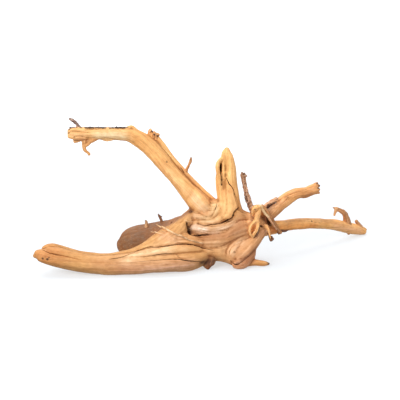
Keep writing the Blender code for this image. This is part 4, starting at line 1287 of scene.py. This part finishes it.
def make_wood(
    name, limbs, seed, *, sides, step, voxel, passes, relief_share, lump, whole=False, bark=False
):
    """A group of limbs as finished wood, grained and coloured by its points, and its surface before cracks.

    The whole root takes the folds, knots, cracks and patches that the front shows, and bark takes plates
    instead of strands. Lump is the size and height of the slow irregular lumps.
    """
    made = grown_together(name, limbs, sides, step, voxel, passes)
    skin = Skin(made)
    field = Field(skin.points, limbs)
    skin.push((0.7 + field.rugged) * lumps(skin, *lump))
    rest_on_ground(skin.points)
    skin.store()
    surface = skin.surface()
    dark = np.zeros(len(skin.points))
    if whole:
        shape_folds(skin, surface)
        dark = shape_knots(skin, surface)
    flow = along_surface(field.directions, skin.normals())
    strands, fibres, threads, checks, relief = grain_relief(Grain(skin, flow), field, seed)
    if bark:
        relief = bark_relief(skin, field)
    relief[skin.points[:, 2] < SMOOTH_FOOT] = 0
    skin.push(relief_share * skin.blurred(relief, 1))
    rest_on_ground(skin.points)
    hollow = hollows(skin)
    surface = skin.surface()
    colours = field.colours
    frayed = np.zeros(len(skin.points))
    if whole:
        colours = painted(skin, surface, flow, fibres, colours)
        for place, radius in FRAYED:
            frayed = np.maximum(frayed, near_places(skin, surface, [place], radius))
    skin.store()
    before = tree_of(skin.points)
    if whole:
        cut_cracks(made, surface, skin, flow, seed + 4)
    finished = Skin(made)
    source = nearest(before, finished.points)
    sunk = [surface.find_nearest(point)[3] for point in finished.points]
    qualities = {
        "tint": np.column_stack([colours, np.ones(len(colours))]),
        "strand": strands,
        "grain": 0.6 * fibres + 0.4 * threads,
        "hollow": hollow,
        "rugged": field.rugged,
        "dust": field.dust,
        "frayed": frayed,
        "place": field.place * MM,
        "sure": field.sure,
        "flow": flow,
    }
    for quality, values in qualities.items():
        stored(made.data, quality, values[source])
    # Painted shade inside the cracks: the deeper a point lies under the wood's surface, the darker. Fine
    # checks and knots add their own dark.
    crack = np.clip(np.array(sunk) / CRACK_SHADE_DEPTH, 0, 1)
    checked = (0.15 + 0.6 * field.rugged[source]) * checks[source]
    stored(made.data, "crack", np.maximum.reduce([crack, checked, dark[source]]))
    mended(thinned(made))
    made.data.shade_smooth()
    made.data.set_sharp_from_angle(angle=SHARP_ANGLE)
    return made, surface


class Nodes:
    """A node tree, with short ways to add and join its nodes."""

    def __init__(self, tree):
        self.tree = tree

    def add(self, kind, inputs=None, **settings):
        """Adds a node with those settings, and feeds its inputs, which are given by name or number."""
        node = self.tree.nodes.new(kind)
        for setting, value in settings.items():
            setattr(node, setting, value)
        self.feed_all(inputs or {}, node)
        return node

    def feed(self, value, socket):
        """Joins an output to the socket, or sets the socket to a plain value."""
        if isinstance(value, bpy.types.NodeSocket):
            self.tree.links.new(value, socket)
        else:
            socket.default_value = value

    def feed_all(self, inputs, node):
        for socket, value in inputs.items():
            self.feed(value, node.inputs[socket])

    def math(self, operation, first, second=0.5):
        return self.add("ShaderNodeMath", {0: first, 1: second}, operation=operation).outputs[0]


class Finish(Nodes):
    """A material's nodes."""

    def __init__(self, name):
        self.material = bpy.data.materials.new(name)
        self.material.use_nodes = True
        super().__init__(self.material.node_tree)

    def done(self, inputs):
        """Feeds the shader, and returns the finished material."""
        self.feed_all(inputs, self.tree.nodes["Principled BSDF"])
        return self.material

    def attribute(self, name):
        node = self.add("ShaderNodeAttribute", attribute_name=name, attribute_type="GEOMETRY")
        return node.outputs[{"place": "Vector", "tint": "Color"}.get(name, "Fac")]

    def noise(self, place, scale, detail, stretch=(1, 1, 1)):
        stretched = self.add("ShaderNodeMapping", {"Vector": place, "Scale": stretch}).outputs["Vector"]
        inputs = {"Vector": stretched, "Scale": scale, "Detail": detail}
        return self.add("ShaderNodeTexNoise", inputs).outputs["Fac"]

    def ramp(self, value, stops):
        """A colour or grey for each stop (place, value)."""
        node = self.add("ShaderNodeValToRGB", {"Fac": value})
        elements = node.color_ramp.elements
        while len(elements) < len(stops):
            elements.new(0.5)
        for element, (place, colour) in zip(elements, stops):
            element.position = place
            element.color = (*colour, 1.0) if isinstance(colour, tuple) else (colour, colour, colour, 1.0)
        return node.outputs["Color"]

    def mix(self, kind, share, first, second):
        """Two colours mixed; the second is an output or plain values."""
        if isinstance(second, tuple):
            second = (*second, 1.0)
        inputs = {0: share, 6: first, 7: second}
        return self.add("ShaderNodeMix", inputs, data_type="RGBA", blend_type=kind).outputs[2]

    def bump(self, height, strength, distance, under=None):
        inputs = {"Height": height, "Strength": strength, "Distance": distance}
        if under is not None:
            inputs["Normal"] = under
        return self.add("ShaderNodeBump", inputs).outputs["Normal"]


def wood_finish():
    """Sun-dried wood: streaks along the grain, pale worn ridges with a painted highlight, furrows and
    cracks darkened brown with painted shade, dust and specks.
    """
    wood = Finish("sun-dried wood")
    own = wood.add("ShaderNodeTexCoord").outputs["Object"]
    place = wood.attribute("place")
    grain = wood.attribute("grain")
    hollow = wood.attribute("hollow")
    rugged = wood.attribute("rugged")
    colour = wood.attribute("tint")
    sure = wood.attribute("sure")

    streaks = wood.ramp(
        grain,
        [
            (0.0, (0.5, 0.35, 0.23)),
            (0.12, (0.8, 0.7, 0.6)),
            (0.4, (0.98, 0.97, 0.95)),
            (1.0, (1.1, 1.12, 1.14)),
        ],
    )
    colour = wood.mix("MULTIPLY", wood.ramp(rugged, [(0.0, 0.4), (0.6, 0.95)]), colour, streaks)
    bands = wood.ramp(
        wood.attribute("strand"),
        [(0.0, (0.74, 0.62, 0.52)), (0.3, (0.94, 0.9, 0.87)), (0.9, (1.08, 1.1, 1.14))],
    )
    colour = wood.mix("MULTIPLY", wood.ramp(rugged, [(0.0, 0.4), (0.6, 0.9)]), colour, bands)
    long_streaks = wood.noise(place, 330, 3, (0.07, 1, 1))
    lines = wood.ramp(
        long_streaks, [(0.34, (0.7, 0.58, 0.46)), (0.48, (0.98, 0.97, 0.95)), (0.66, (1.1, 1.13, 1.16))]
    )
    coarse = wood.math("MULTIPLY", sure, wood.ramp(rugged, [(0.08, 0.14), (0.4, 0.8)]))
    colour = wood.mix("MULTIPLY", coarse, colour, lines)
    fine = wood.noise(place, 1000, 3, (0.06, 1, 1))
    fibres = wood.ramp(fine, [(0.34, (0.74, 0.62, 0.5)), (0.56, (1.04, 1.04, 1.04))])
    colour = wood.mix("MULTIPLY", wood.math("MULTIPLY", sure, 0.6), colour, fibres)
    dashes = wood.ramp(wood.noise(place, 460, 2, (0.14, 1, 1)), [(0.7, 0.0), (0.76, 0.7)])
    colour = wood.mix("MIX", wood.math("MULTIPLY", sure, dashes), colour, (0.3, 0.14, 0.06))
    for scale, share in ((30, 0.6), (110, 0.45)):
        blotches = wood.ramp(
            wood.noise(own, scale, 4), [(0.36, (0.88, 0.78, 0.68)), (0.6, (1.03, 1.03, 1.03))]
        )
        colour = wood.mix("MULTIPLY", share, colour, blotches)
    # Painted shade: the deeper a point lies in a furrow, the darker and browner its colour.
    furrows = wood.ramp(
        hollow, [(0.5, (1.0, 1.0, 1.0)), (0.8, (0.88, 0.8, 0.72)), (1.0, (0.48, 0.35, 0.26))]
    )
    colour = wood.mix("MULTIPLY", 0.75, colour, furrows)
    # Ridges made paler: worn wood, with a painted highlight.
    ridges = wood.ramp(hollow, [(0.0, (1.14, 1.18, 1.22)), (0.4, (1.0, 1.0, 1.0))])
    colour = wood.mix("MULTIPLY", 1.0, colour, ridges)
    clouds = wood.ramp(wood.noise(own, 170, 5), [(0.42, 0.0), (0.64, 0.55)])
    dusty = wood.math("MULTIPLY", clouds, wood.attribute("dust"))
    colour = wood.mix("MIX", dusty, colour, (0.2, 0.13, 0.085))
    worn = wood.ramp(wood.noise(place, 620, 3, (0.16, 1, 1)), [(0.58, 0.0), (0.7, 0.5)])
    colour = wood.mix("MIX", wood.math("MULTIPLY", coarse, worn), colour, (0.95, 0.74, 0.52))
    hairlines = wood.ramp(wood.noise(place, 240, 2, (0.05, 1, 1)), [(0.53, 0.0), (0.545, 0.7), (0.56, 0.0)])
    colour = wood.mix("MIX", wood.math("MULTIPLY", coarse, hairlines), colour, (0.22, 0.1, 0.045))
    specks = wood.ramp(wood.noise(own, 520, 2), [(0.68, 0.0), (0.76, 0.5)])
    colour = wood.mix("MIX", specks, colour, (0.2, 0.09, 0.04))
    # Painted shade inside the cracks, together with the dark of fine checks and knots.
    crack = wood.ramp(wood.attribute("crack"), [(0.08, 0.0), (0.5, 0.8), (1.0, 0.95)])
    colour = wood.mix("MIX", crack, colour, (0.07, 0.034, 0.018))

    crumbs = wood.bump(wood.noise(own, 900, 4), 0.35, 0.0004)
    fine_bump = wood.bump(fine, 0.5, 0.0004, crumbs)
    line_bump = wood.bump(long_streaks, 0.5, 0.0012, fine_bump)
    return wood.done(
        {
            "Base Color": colour,
            "Roughness": wood.ramp(hollow, [(0.0, 0.5), (1.0, 0.85)]),
            "Specular IOR Level": 0.3,
            "Normal": wood.bump(grain, 0.6, 0.0007, line_bump),
        }
    )


def bark_finish():
    """Old bark: grey-brown plates with pale flaked spots, and furrows between them darkened with painted
    shade.
    """
    bark = Finish("old bark")
    own = bark.add("ShaderNodeTexCoord").outputs["Object"]
    place = bark.attribute("place")
    hollow = bark.attribute("hollow")
    colour = bark.attribute("tint")

    plates = bark.noise(place, 420, 4, (0.3, 1, 1))
    tones = bark.ramp(plates, [(0.35, (0.6, 0.52, 0.46)), (0.62, (1.16, 1.14, 1.14))])
    colour = bark.mix("MULTIPLY", 1.0, colour, tones)
    flaked = bark.ramp(bark.noise(own, 260, 3), [(0.55, 0.0), (0.66, 0.7)])
    colour = bark.mix("MIX", flaked, colour, (0.58, 0.42, 0.34))
    # Painted shade: the deeper a point lies in a furrow between plates, the darker. The raised plates are
    # made a little paler.
    furrows = bark.ramp(
        hollow, [(0.35, (1.1, 1.08, 1.06)), (0.6, (0.78, 0.7, 0.63)), (0.95, (0.3, 0.22, 0.17))]
    )
    colour = bark.mix("MULTIPLY", 1.0, colour, furrows)

    crumbs = bark.bump(bark.noise(own, 1400, 4), 0.5, 0.0003)
    return bark.done(
        {
            "Base Color": colour,
            "Roughness": bark.ramp(plates, [(0.3, 0.95), (0.7, 0.75)]),
            "Specular IOR Level": 0.2,
            "Normal": bark.bump(plates, 0.6, 0.0006, crumbs),
        }
    )


def fibre_finish():
    """Dry fibres: pale straw, here and there browned."""
    fibre = Finish("dry fibre")
    own = fibre.add("ShaderNodeTexCoord").outputs["Object"]
    straw = [(0.35, (0.48, 0.27, 0.13)), (0.5, (0.86, 0.55, 0.29)), (0.7, (0.95, 0.73, 0.45))]
    return fibre.done(
        {
            "Base Color": fibre.ramp(fibre.noise(own, 95, 3), straw),
            "Roughness": fibre.ramp(fibre.noise(own, 700, 2), [(0.3, 0.5), (0.7, 0.8)]),
        }
    )


class Growth(Nodes):
    """A Geometry Nodes tree that grows something on a mesh: its named inputs, its nodes and its running."""

    def __init__(self, name, sizes, material):
        super().__init__(bpy.data.node_groups.new(name, "GeometryNodeTree"))
        interface = self.tree.interface
        for way in ("INPUT", "OUTPUT"):
            interface.new_socket("Geometry", in_out=way, socket_type="NodeSocketGeometry")
        for size, value in sizes.items():
            kind = "NodeSocketInt" if isinstance(value, int) else "NodeSocketFloat"
            interface.new_socket(size, in_out="INPUT", socket_type=kind)
        self.sizes = sizes
        self.given = self.add("NodeGroupInput").outputs
        self.material = material

    def end(self, geometry):
        """Ends the tree in one smooth mesh of the material."""
        realised = self.add("GeometryNodeRealizeInstances", {0: geometry})
        smooth = self.add("GeometryNodeSetShadeSmooth", {0: realised.outputs[0]})
        coloured = self.add("GeometryNodeSetMaterial", {0: smooth.outputs[0], "Material": self.material})
        self.add("NodeGroupOutput", {0: coloured.outputs[0]})

    def run(self, made):
        """Runs the tree on the object and leaves what it grew as the object's plain mesh."""
        modifier = made.modifiers.new(self.tree.name, "NODES")
        modifier.node_group = self.tree
        for item in self.tree.interface.items_tree:
            if item.in_out == "INPUT" and item.name in self.sizes:
                modifier[item.identifier] = self.sizes[item.name]
        return applied(made)


def fibre_growth(material):
    """Turns paths with a thickness at each point into fibres that wander a little."""
    growth = Growth("fibres", {"Step": 1.0 * MM, "Wander": 0.3 * MM, "Roughness": 0.5}, material)
    given = growth.given
    curve = growth.add("GeometryNodeMeshToCurve", {0: given["Geometry"]})
    points = growth.add(
        "GeometryNodeResampleCurve", {0: curve.outputs[0], "Length": given["Step"]}, mode="LENGTH"
    )
    sway = growth.add("ShaderNodeTexNoise", {"Scale": 130})
    centred = growth.add(
        "ShaderNodeVectorMath", {0: sway.outputs["Color"], 1: (0.5, 0.5, 0.5)}, operation="SUBTRACT"
    )
    scaled = growth.add(
        "ShaderNodeVectorMath", {0: centred.outputs[0], "Scale": given["Wander"]}, operation="SCALE"
    )
    moved = growth.add("GeometryNodeSetPosition", {0: points.outputs[0], "Offset": scaled.outputs[0]})
    thickness = growth.add("GeometryNodeInputNamedAttribute", {"Name": "thickness"}, data_type="FLOAT")
    knobs = growth.add("ShaderNodeTexNoise", {"Scale": 600})
    swell = growth.math("MULTIPLY", growth.math("SUBTRACT", knobs.outputs["Fac"]), given["Roughness"])
    radius = growth.math("MULTIPLY", thickness.outputs["Attribute"], growth.math("ADD", swell, 1.0))
    profile = growth.add("GeometryNodeCurvePrimitiveCircle", {"Resolution": 7, "Radius": 1.0})
    tube = growth.add(
        "GeometryNodeCurveToMesh",
        {
            0: moved.outputs[0],
            "Profile Curve": profile.outputs["Curve"],
            "Scale": radius,
            "Fill Caps": True,
        },
    )
    growth.end(tube.outputs[0])
    return growth


def make_fibres(surface, material):
    """The loose fibres of the front, each tapered to both ends."""
    mesh = bmesh.new()
    layer = mesh.verts.layers.float.new("thickness")
    for thickness, places in FIBRES.values():
        path, normals, lifts = cast_path(surface, places, 2.0)
        path = path + normals * lifts
        away = np.linalg.norm(path - EYE, axis=1)[:, None]
        path = EYE + unit(path - EYE) * np.minimum(away, away.min() + FIBRE_REACH)
        before = None
        for share, point in zip(np.linspace(0, 1, len(path)), path):
            vertex = mesh.verts.new(point * MM)
            taper = 0.25 + 0.75 * math.sin(math.pi * min(share, 1 - share)) ** 0.35
            vertex[layer] = thickness * MM * taper
            if before:
                mesh.edges.new((before, vertex))
            before = vertex
    return fibre_growth(material).run(object_from(mesh, "dry_root_fibres"))


def scatter_growth(name, sizes, material, share, shape):
    """Scatters copies of a small shape over a mesh, along its grain, where the named share is high."""
    growth = Growth(name, sizes, material)
    given = growth.given
    where = growth.add("GeometryNodeInputNamedAttribute", {"Name": share}, data_type="FLOAT")
    flow = growth.add("GeometryNodeInputNamedAttribute", {"Name": "flow"}, data_type="FLOAT_VECTOR")
    density = growth.math("MULTIPLY", where.outputs["Attribute"], given["Density"])
    points = growth.add(
        "GeometryNodeDistributePointsOnFaces",
        {0: given["Geometry"], "Density": density, "Seed": given["Seed"]},
        distribute_method="RANDOM",
    )
    turned = growth.add(
        "FunctionNodeAxesToRotation",
        {"Primary Axis": points.outputs["Normal"], "Secondary Axis": flow.outputs["Attribute"]},
        primary_axis="Z",
        secondary_axis="X",
    )
    askew = growth.add(
        "FunctionNodeRandomValue",
        {"Min": (-0.12, -0.1, -0.45), "Max": (0.12, 0.35, 0.45), "Seed": given["Seed"]},
        data_type="FLOAT_VECTOR",
    )
    tilt = growth.add(
        "FunctionNodeRotateRotation",
        {"Rotation": turned.outputs[0], "Rotate By": askew.outputs["Value"]},
        rotation_space="LOCAL",
    )
    size = growth.add(
        "FunctionNodeRandomValue",
        {2: given["Smallest"], 3: given["Largest"], "Seed": given["Seed"]},
        data_type="FLOAT",
    )
    piece = growth.add("GeometryNodeObjectInfo", {"Object": shape}, transform_space="ORIGINAL")
    copies = growth.add(
        "GeometryNodeInstanceOnPoints",
        {
            0: points.outputs["Points"],
            "Instance": piece.outputs["Geometry"],
            "Rotation": tilt.outputs[0],
            "Scale": size.outputs[1],
        },
    )
    growth.end(copies.outputs[0])
    return growth


def splinter_hair():
    """One bent hair, 4 mm long along X, thin at its tip."""
    mesh = bmesh.new()
    angles = 2 * math.pi * np.arange(4) / 4
    offsets = np.stack([0 * angles, np.cos(angles), np.sin(angles)], axis=1)
    rings = []
    for share in np.linspace(0, 1, 6):
        radius = 0.16 * (1 - 0.8 * share)
        centre = np.array((4 * share - 0.4, 0.3 * math.sin(3 * share), 1.5 * share**2 - 0.1))
        rings.append(centre + radius * offsets)
    add_tube(mesh, rings)
    return object_from(mesh, "splinter hair")


def bark_flake():
    """One flake of bark, 2.6 mm long along X, its far end curled up."""
    mesh = bmesh.new()
    rings = []
    for share, width in ((0, 0.25), (0.25, 0.6), (0.6, 0.7), (0.85, 0.5), (1, 0.2)):
        along, lift = 2.6 * share - 1.0, 0.55 * share**2 - 0.1
        corners = ((-width, -0.16), (width, -0.16), (0.8 * width, 0.16), (-0.7 * width, 0.16))
        rings.append(np.array([(along, across, lift + rise) for across, rise in corners]))
    add_tube(mesh, rings)
    return object_from(mesh, "bark flake")


def scattered(name, ground, growth):
    """What the growth scatters over a copy of the ground's mesh, as an object of its own."""
    return growth.run(placed(name, ground.data.copy()))


def ridge_barks():
    """The stations of each dark remnant of bark along the arched limb's top."""
    barks = {}
    limb = np.array(LIMBS["arched limb, main strand"])
    for number, (start, end) in enumerate(RIDGE_BARK, 1):
        stations = []
        for across, rise, half_width in ((start, 0, 0.5), ((start + end) / 2, 0.4, 0.8), (end, 0.2, 0.6)):
            back = np.interp(-across, -limb[:, 0], limb[:, 2]) - RIDGE_BARK_AHEAD
            stations.append((across, RIDGE_BARK_UP + rise, back, half_width, RIDGE_BARK_HALF_DEPTH))
        barks[f"ridge bark, {number}"] = stations
    return barks


def finish_piece(piece, shift, material=None):
    """Puts a piece where the solid stands, gives it its material and ties it to the solid."""
    if material:
        piece.data.materials.clear()
        piece.data.materials.append(material)
    piece.data.transform(Matrix.Translation(shift))
    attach(piece, "root")
    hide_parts("dry_root")


def middle_of(low, high):
    return (Vector(low) + Vector(high)) / 2


def shift_to_solid(made):
    """How far the layout moves, so that the wood's box has its middle where the solid's box has."""
    points = Skin(made).points * MM
    offset = middle_of(*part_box("dry_root")) - middle_of(points.min(axis=0), points.max(axis=0))
    return Vector((offset.x, offset.y, 0))


def make_stage():
    """A wide pale floor that the camera sees, while the sky's lower half lights the wood from below."""
    mesh = bmesh.new()
    bmesh.ops.create_circle(mesh, cap_ends=True, segments=64, radius=FLOOR_RADIUS)
    floor = object_from(mesh, "studio_floor")
    floor.location.z = -FLOOR_DROP
    floor.visible_diffuse = False
    floor.visible_glossy = False
    paper = Finish("white studio paper")
    own = paper.add("ShaderNodeTexCoord").outputs["Object"]
    distance = paper.add("ShaderNodeVectorMath", {0: own}, operation="LENGTH").outputs["Value"]
    white = {
        "Base Color": (0.41, 0.45, 0.49, 1),
        "Roughness": 1.0,
        "Specular IOR Level": 0.0,
        "Emission Color": (1, 1, 1, 1),
        "Emission Strength": paper.ramp(distance, [(0.0, 0.535), (0.34, 0.535), (1.0, 0.92)]),
    }
    floor.data.materials.append(paper.done(white))
    floor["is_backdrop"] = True


def aim(made, target):
    made.rotation_mode = "QUATERNION"
    made.rotation_quaternion = (Vector(target) - made.location).to_track_quat("-Z", "Y")


def add_softbox(name, place, size, power, colour):
    light = bpy.data.lights.new(name, "AREA")
    light.shape = "DISK"
    light.size = size
    light.energy = power
    light.color = colour
    made = placed(name, light)
    made.location = place
    aim(made, LIT_POINT)


def make_light():
    """An even white sky, brighter above than below, with a large soft key from the upper left."""
    world = bpy.data.worlds.new("studio")
    world.use_nodes = True
    sky = Nodes(world.node_tree)
    direction = sky.add("ShaderNodeTexCoord").outputs["Generated"]
    height = sky.add("ShaderNodeSeparateXYZ", {0: direction}).outputs["Z"]
    span = {"Value": height, "From Min": -0.6, "From Max": 0.6, "To Min": 0.42, "To Max": 0.58}
    strength = sky.add("ShaderNodeMapRange", span).outputs[0]
    sky.feed_all({"Strength": strength, "Color": (1, 1, 1, 1)}, world.node_tree.nodes["Background"])
    bpy.context.scene.world = world
    add_softbox("key from the upper left", (-1.3, -1.9, 1.35), 1.4, 46, (1.0, 0.98, 0.95))
    add_softbox("fill from the right", (1.5, -1.4, 0.9), 1.0, 8, (1.0, 0.99, 0.97))
    add_softbox("light from above and behind", (-0.5, 0.9, 2.1), 2.6, 34, (1.0, 1.0, 1.0))


def make_camera(shift):
    camera = bpy.data.cameras.new("camera")
    camera.sensor_width = SENSOR_WIDTH
    camera.lens = SENSOR_WIDTH * VIEW_DISTANCE / SEEN_WIDTH
    camera.clip_end = 100
    made = placed("camera", camera)
    target = Vector((0, 0, VIEW_CENTRE_HEIGHT * MM)) + shift
    made.location = Vector(EYE * MM) + shift
    aim(made, target)
    bpy.context.scene.camera = made


def main():
    wood_look, bark_look, fibre_look = wood_finish(), bark_finish(), fibre_finish()
    wood, surface = make_wood(
        "dry_root_wood",
        LIMBS,
        11,
        sides=36,
        step=3.0,
        voxel=1.16,
        passes=16,
        relief_share=1.0,
        lump=(26, 0.9),
        whole=True,
    )
    rootlets, _ = make_wood(
        "dry_root_rootlets",
        ROOTLETS,
        31,
        sides=16,
        step=1.5,
        voxel=0.6,
        passes=4,
        relief_share=0.5,
        lump=(5, 0.55),
    )
    barks, _ = make_wood(
        "dry_root_bark",
        BARKS | ridge_barks(),
        51,
        sides=16,
        step=1.2,
        voxel=0.5,
        passes=4,
        relief_share=1.0,
        lump=(4, 0.5),
        bark=True,
    )
    fibres = make_fibres(surface, fibre_look)
    hair, flake = splinter_hair(), bark_flake()
    hair_sizes = {"Density": 60000.0, "Smallest": 0.5, "Largest": 1.3, "Seed": 5}
    hair_growth = scatter_growth("hairs", hair_sizes, fibre_look, "frayed", hair)
    hairs = scattered("dry_root_hairs", wood, hair_growth)
    flake_sizes = {"Density": 90000.0, "Smallest": 0.45, "Largest": 1.1, "Seed": 7}
    flake_growth = scatter_growth("flakes", flake_sizes, bark_look, "rugged", flake)
    flakes = scattered("dry_root_flakes", barks, flake_growth)
    for shape in (hair, flake):
        bpy.data.objects.remove(shape)

    shift = shift_to_solid(wood)
    finish_piece(wood, shift, wood_look)
    finish_piece(rootlets, shift, wood_look)
    finish_piece(barks, shift, bark_look)
    for grown in (fibres, hairs, flakes):
        finish_piece(grown, shift)
    make_stage()
    make_light()
    make_camera(shift)
    bpy.context.scene.view_settings.view_transform = "Standard"


main()
sizes = [[list(corner) for corner in bounds] for bounds in (cad_bounds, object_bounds())]
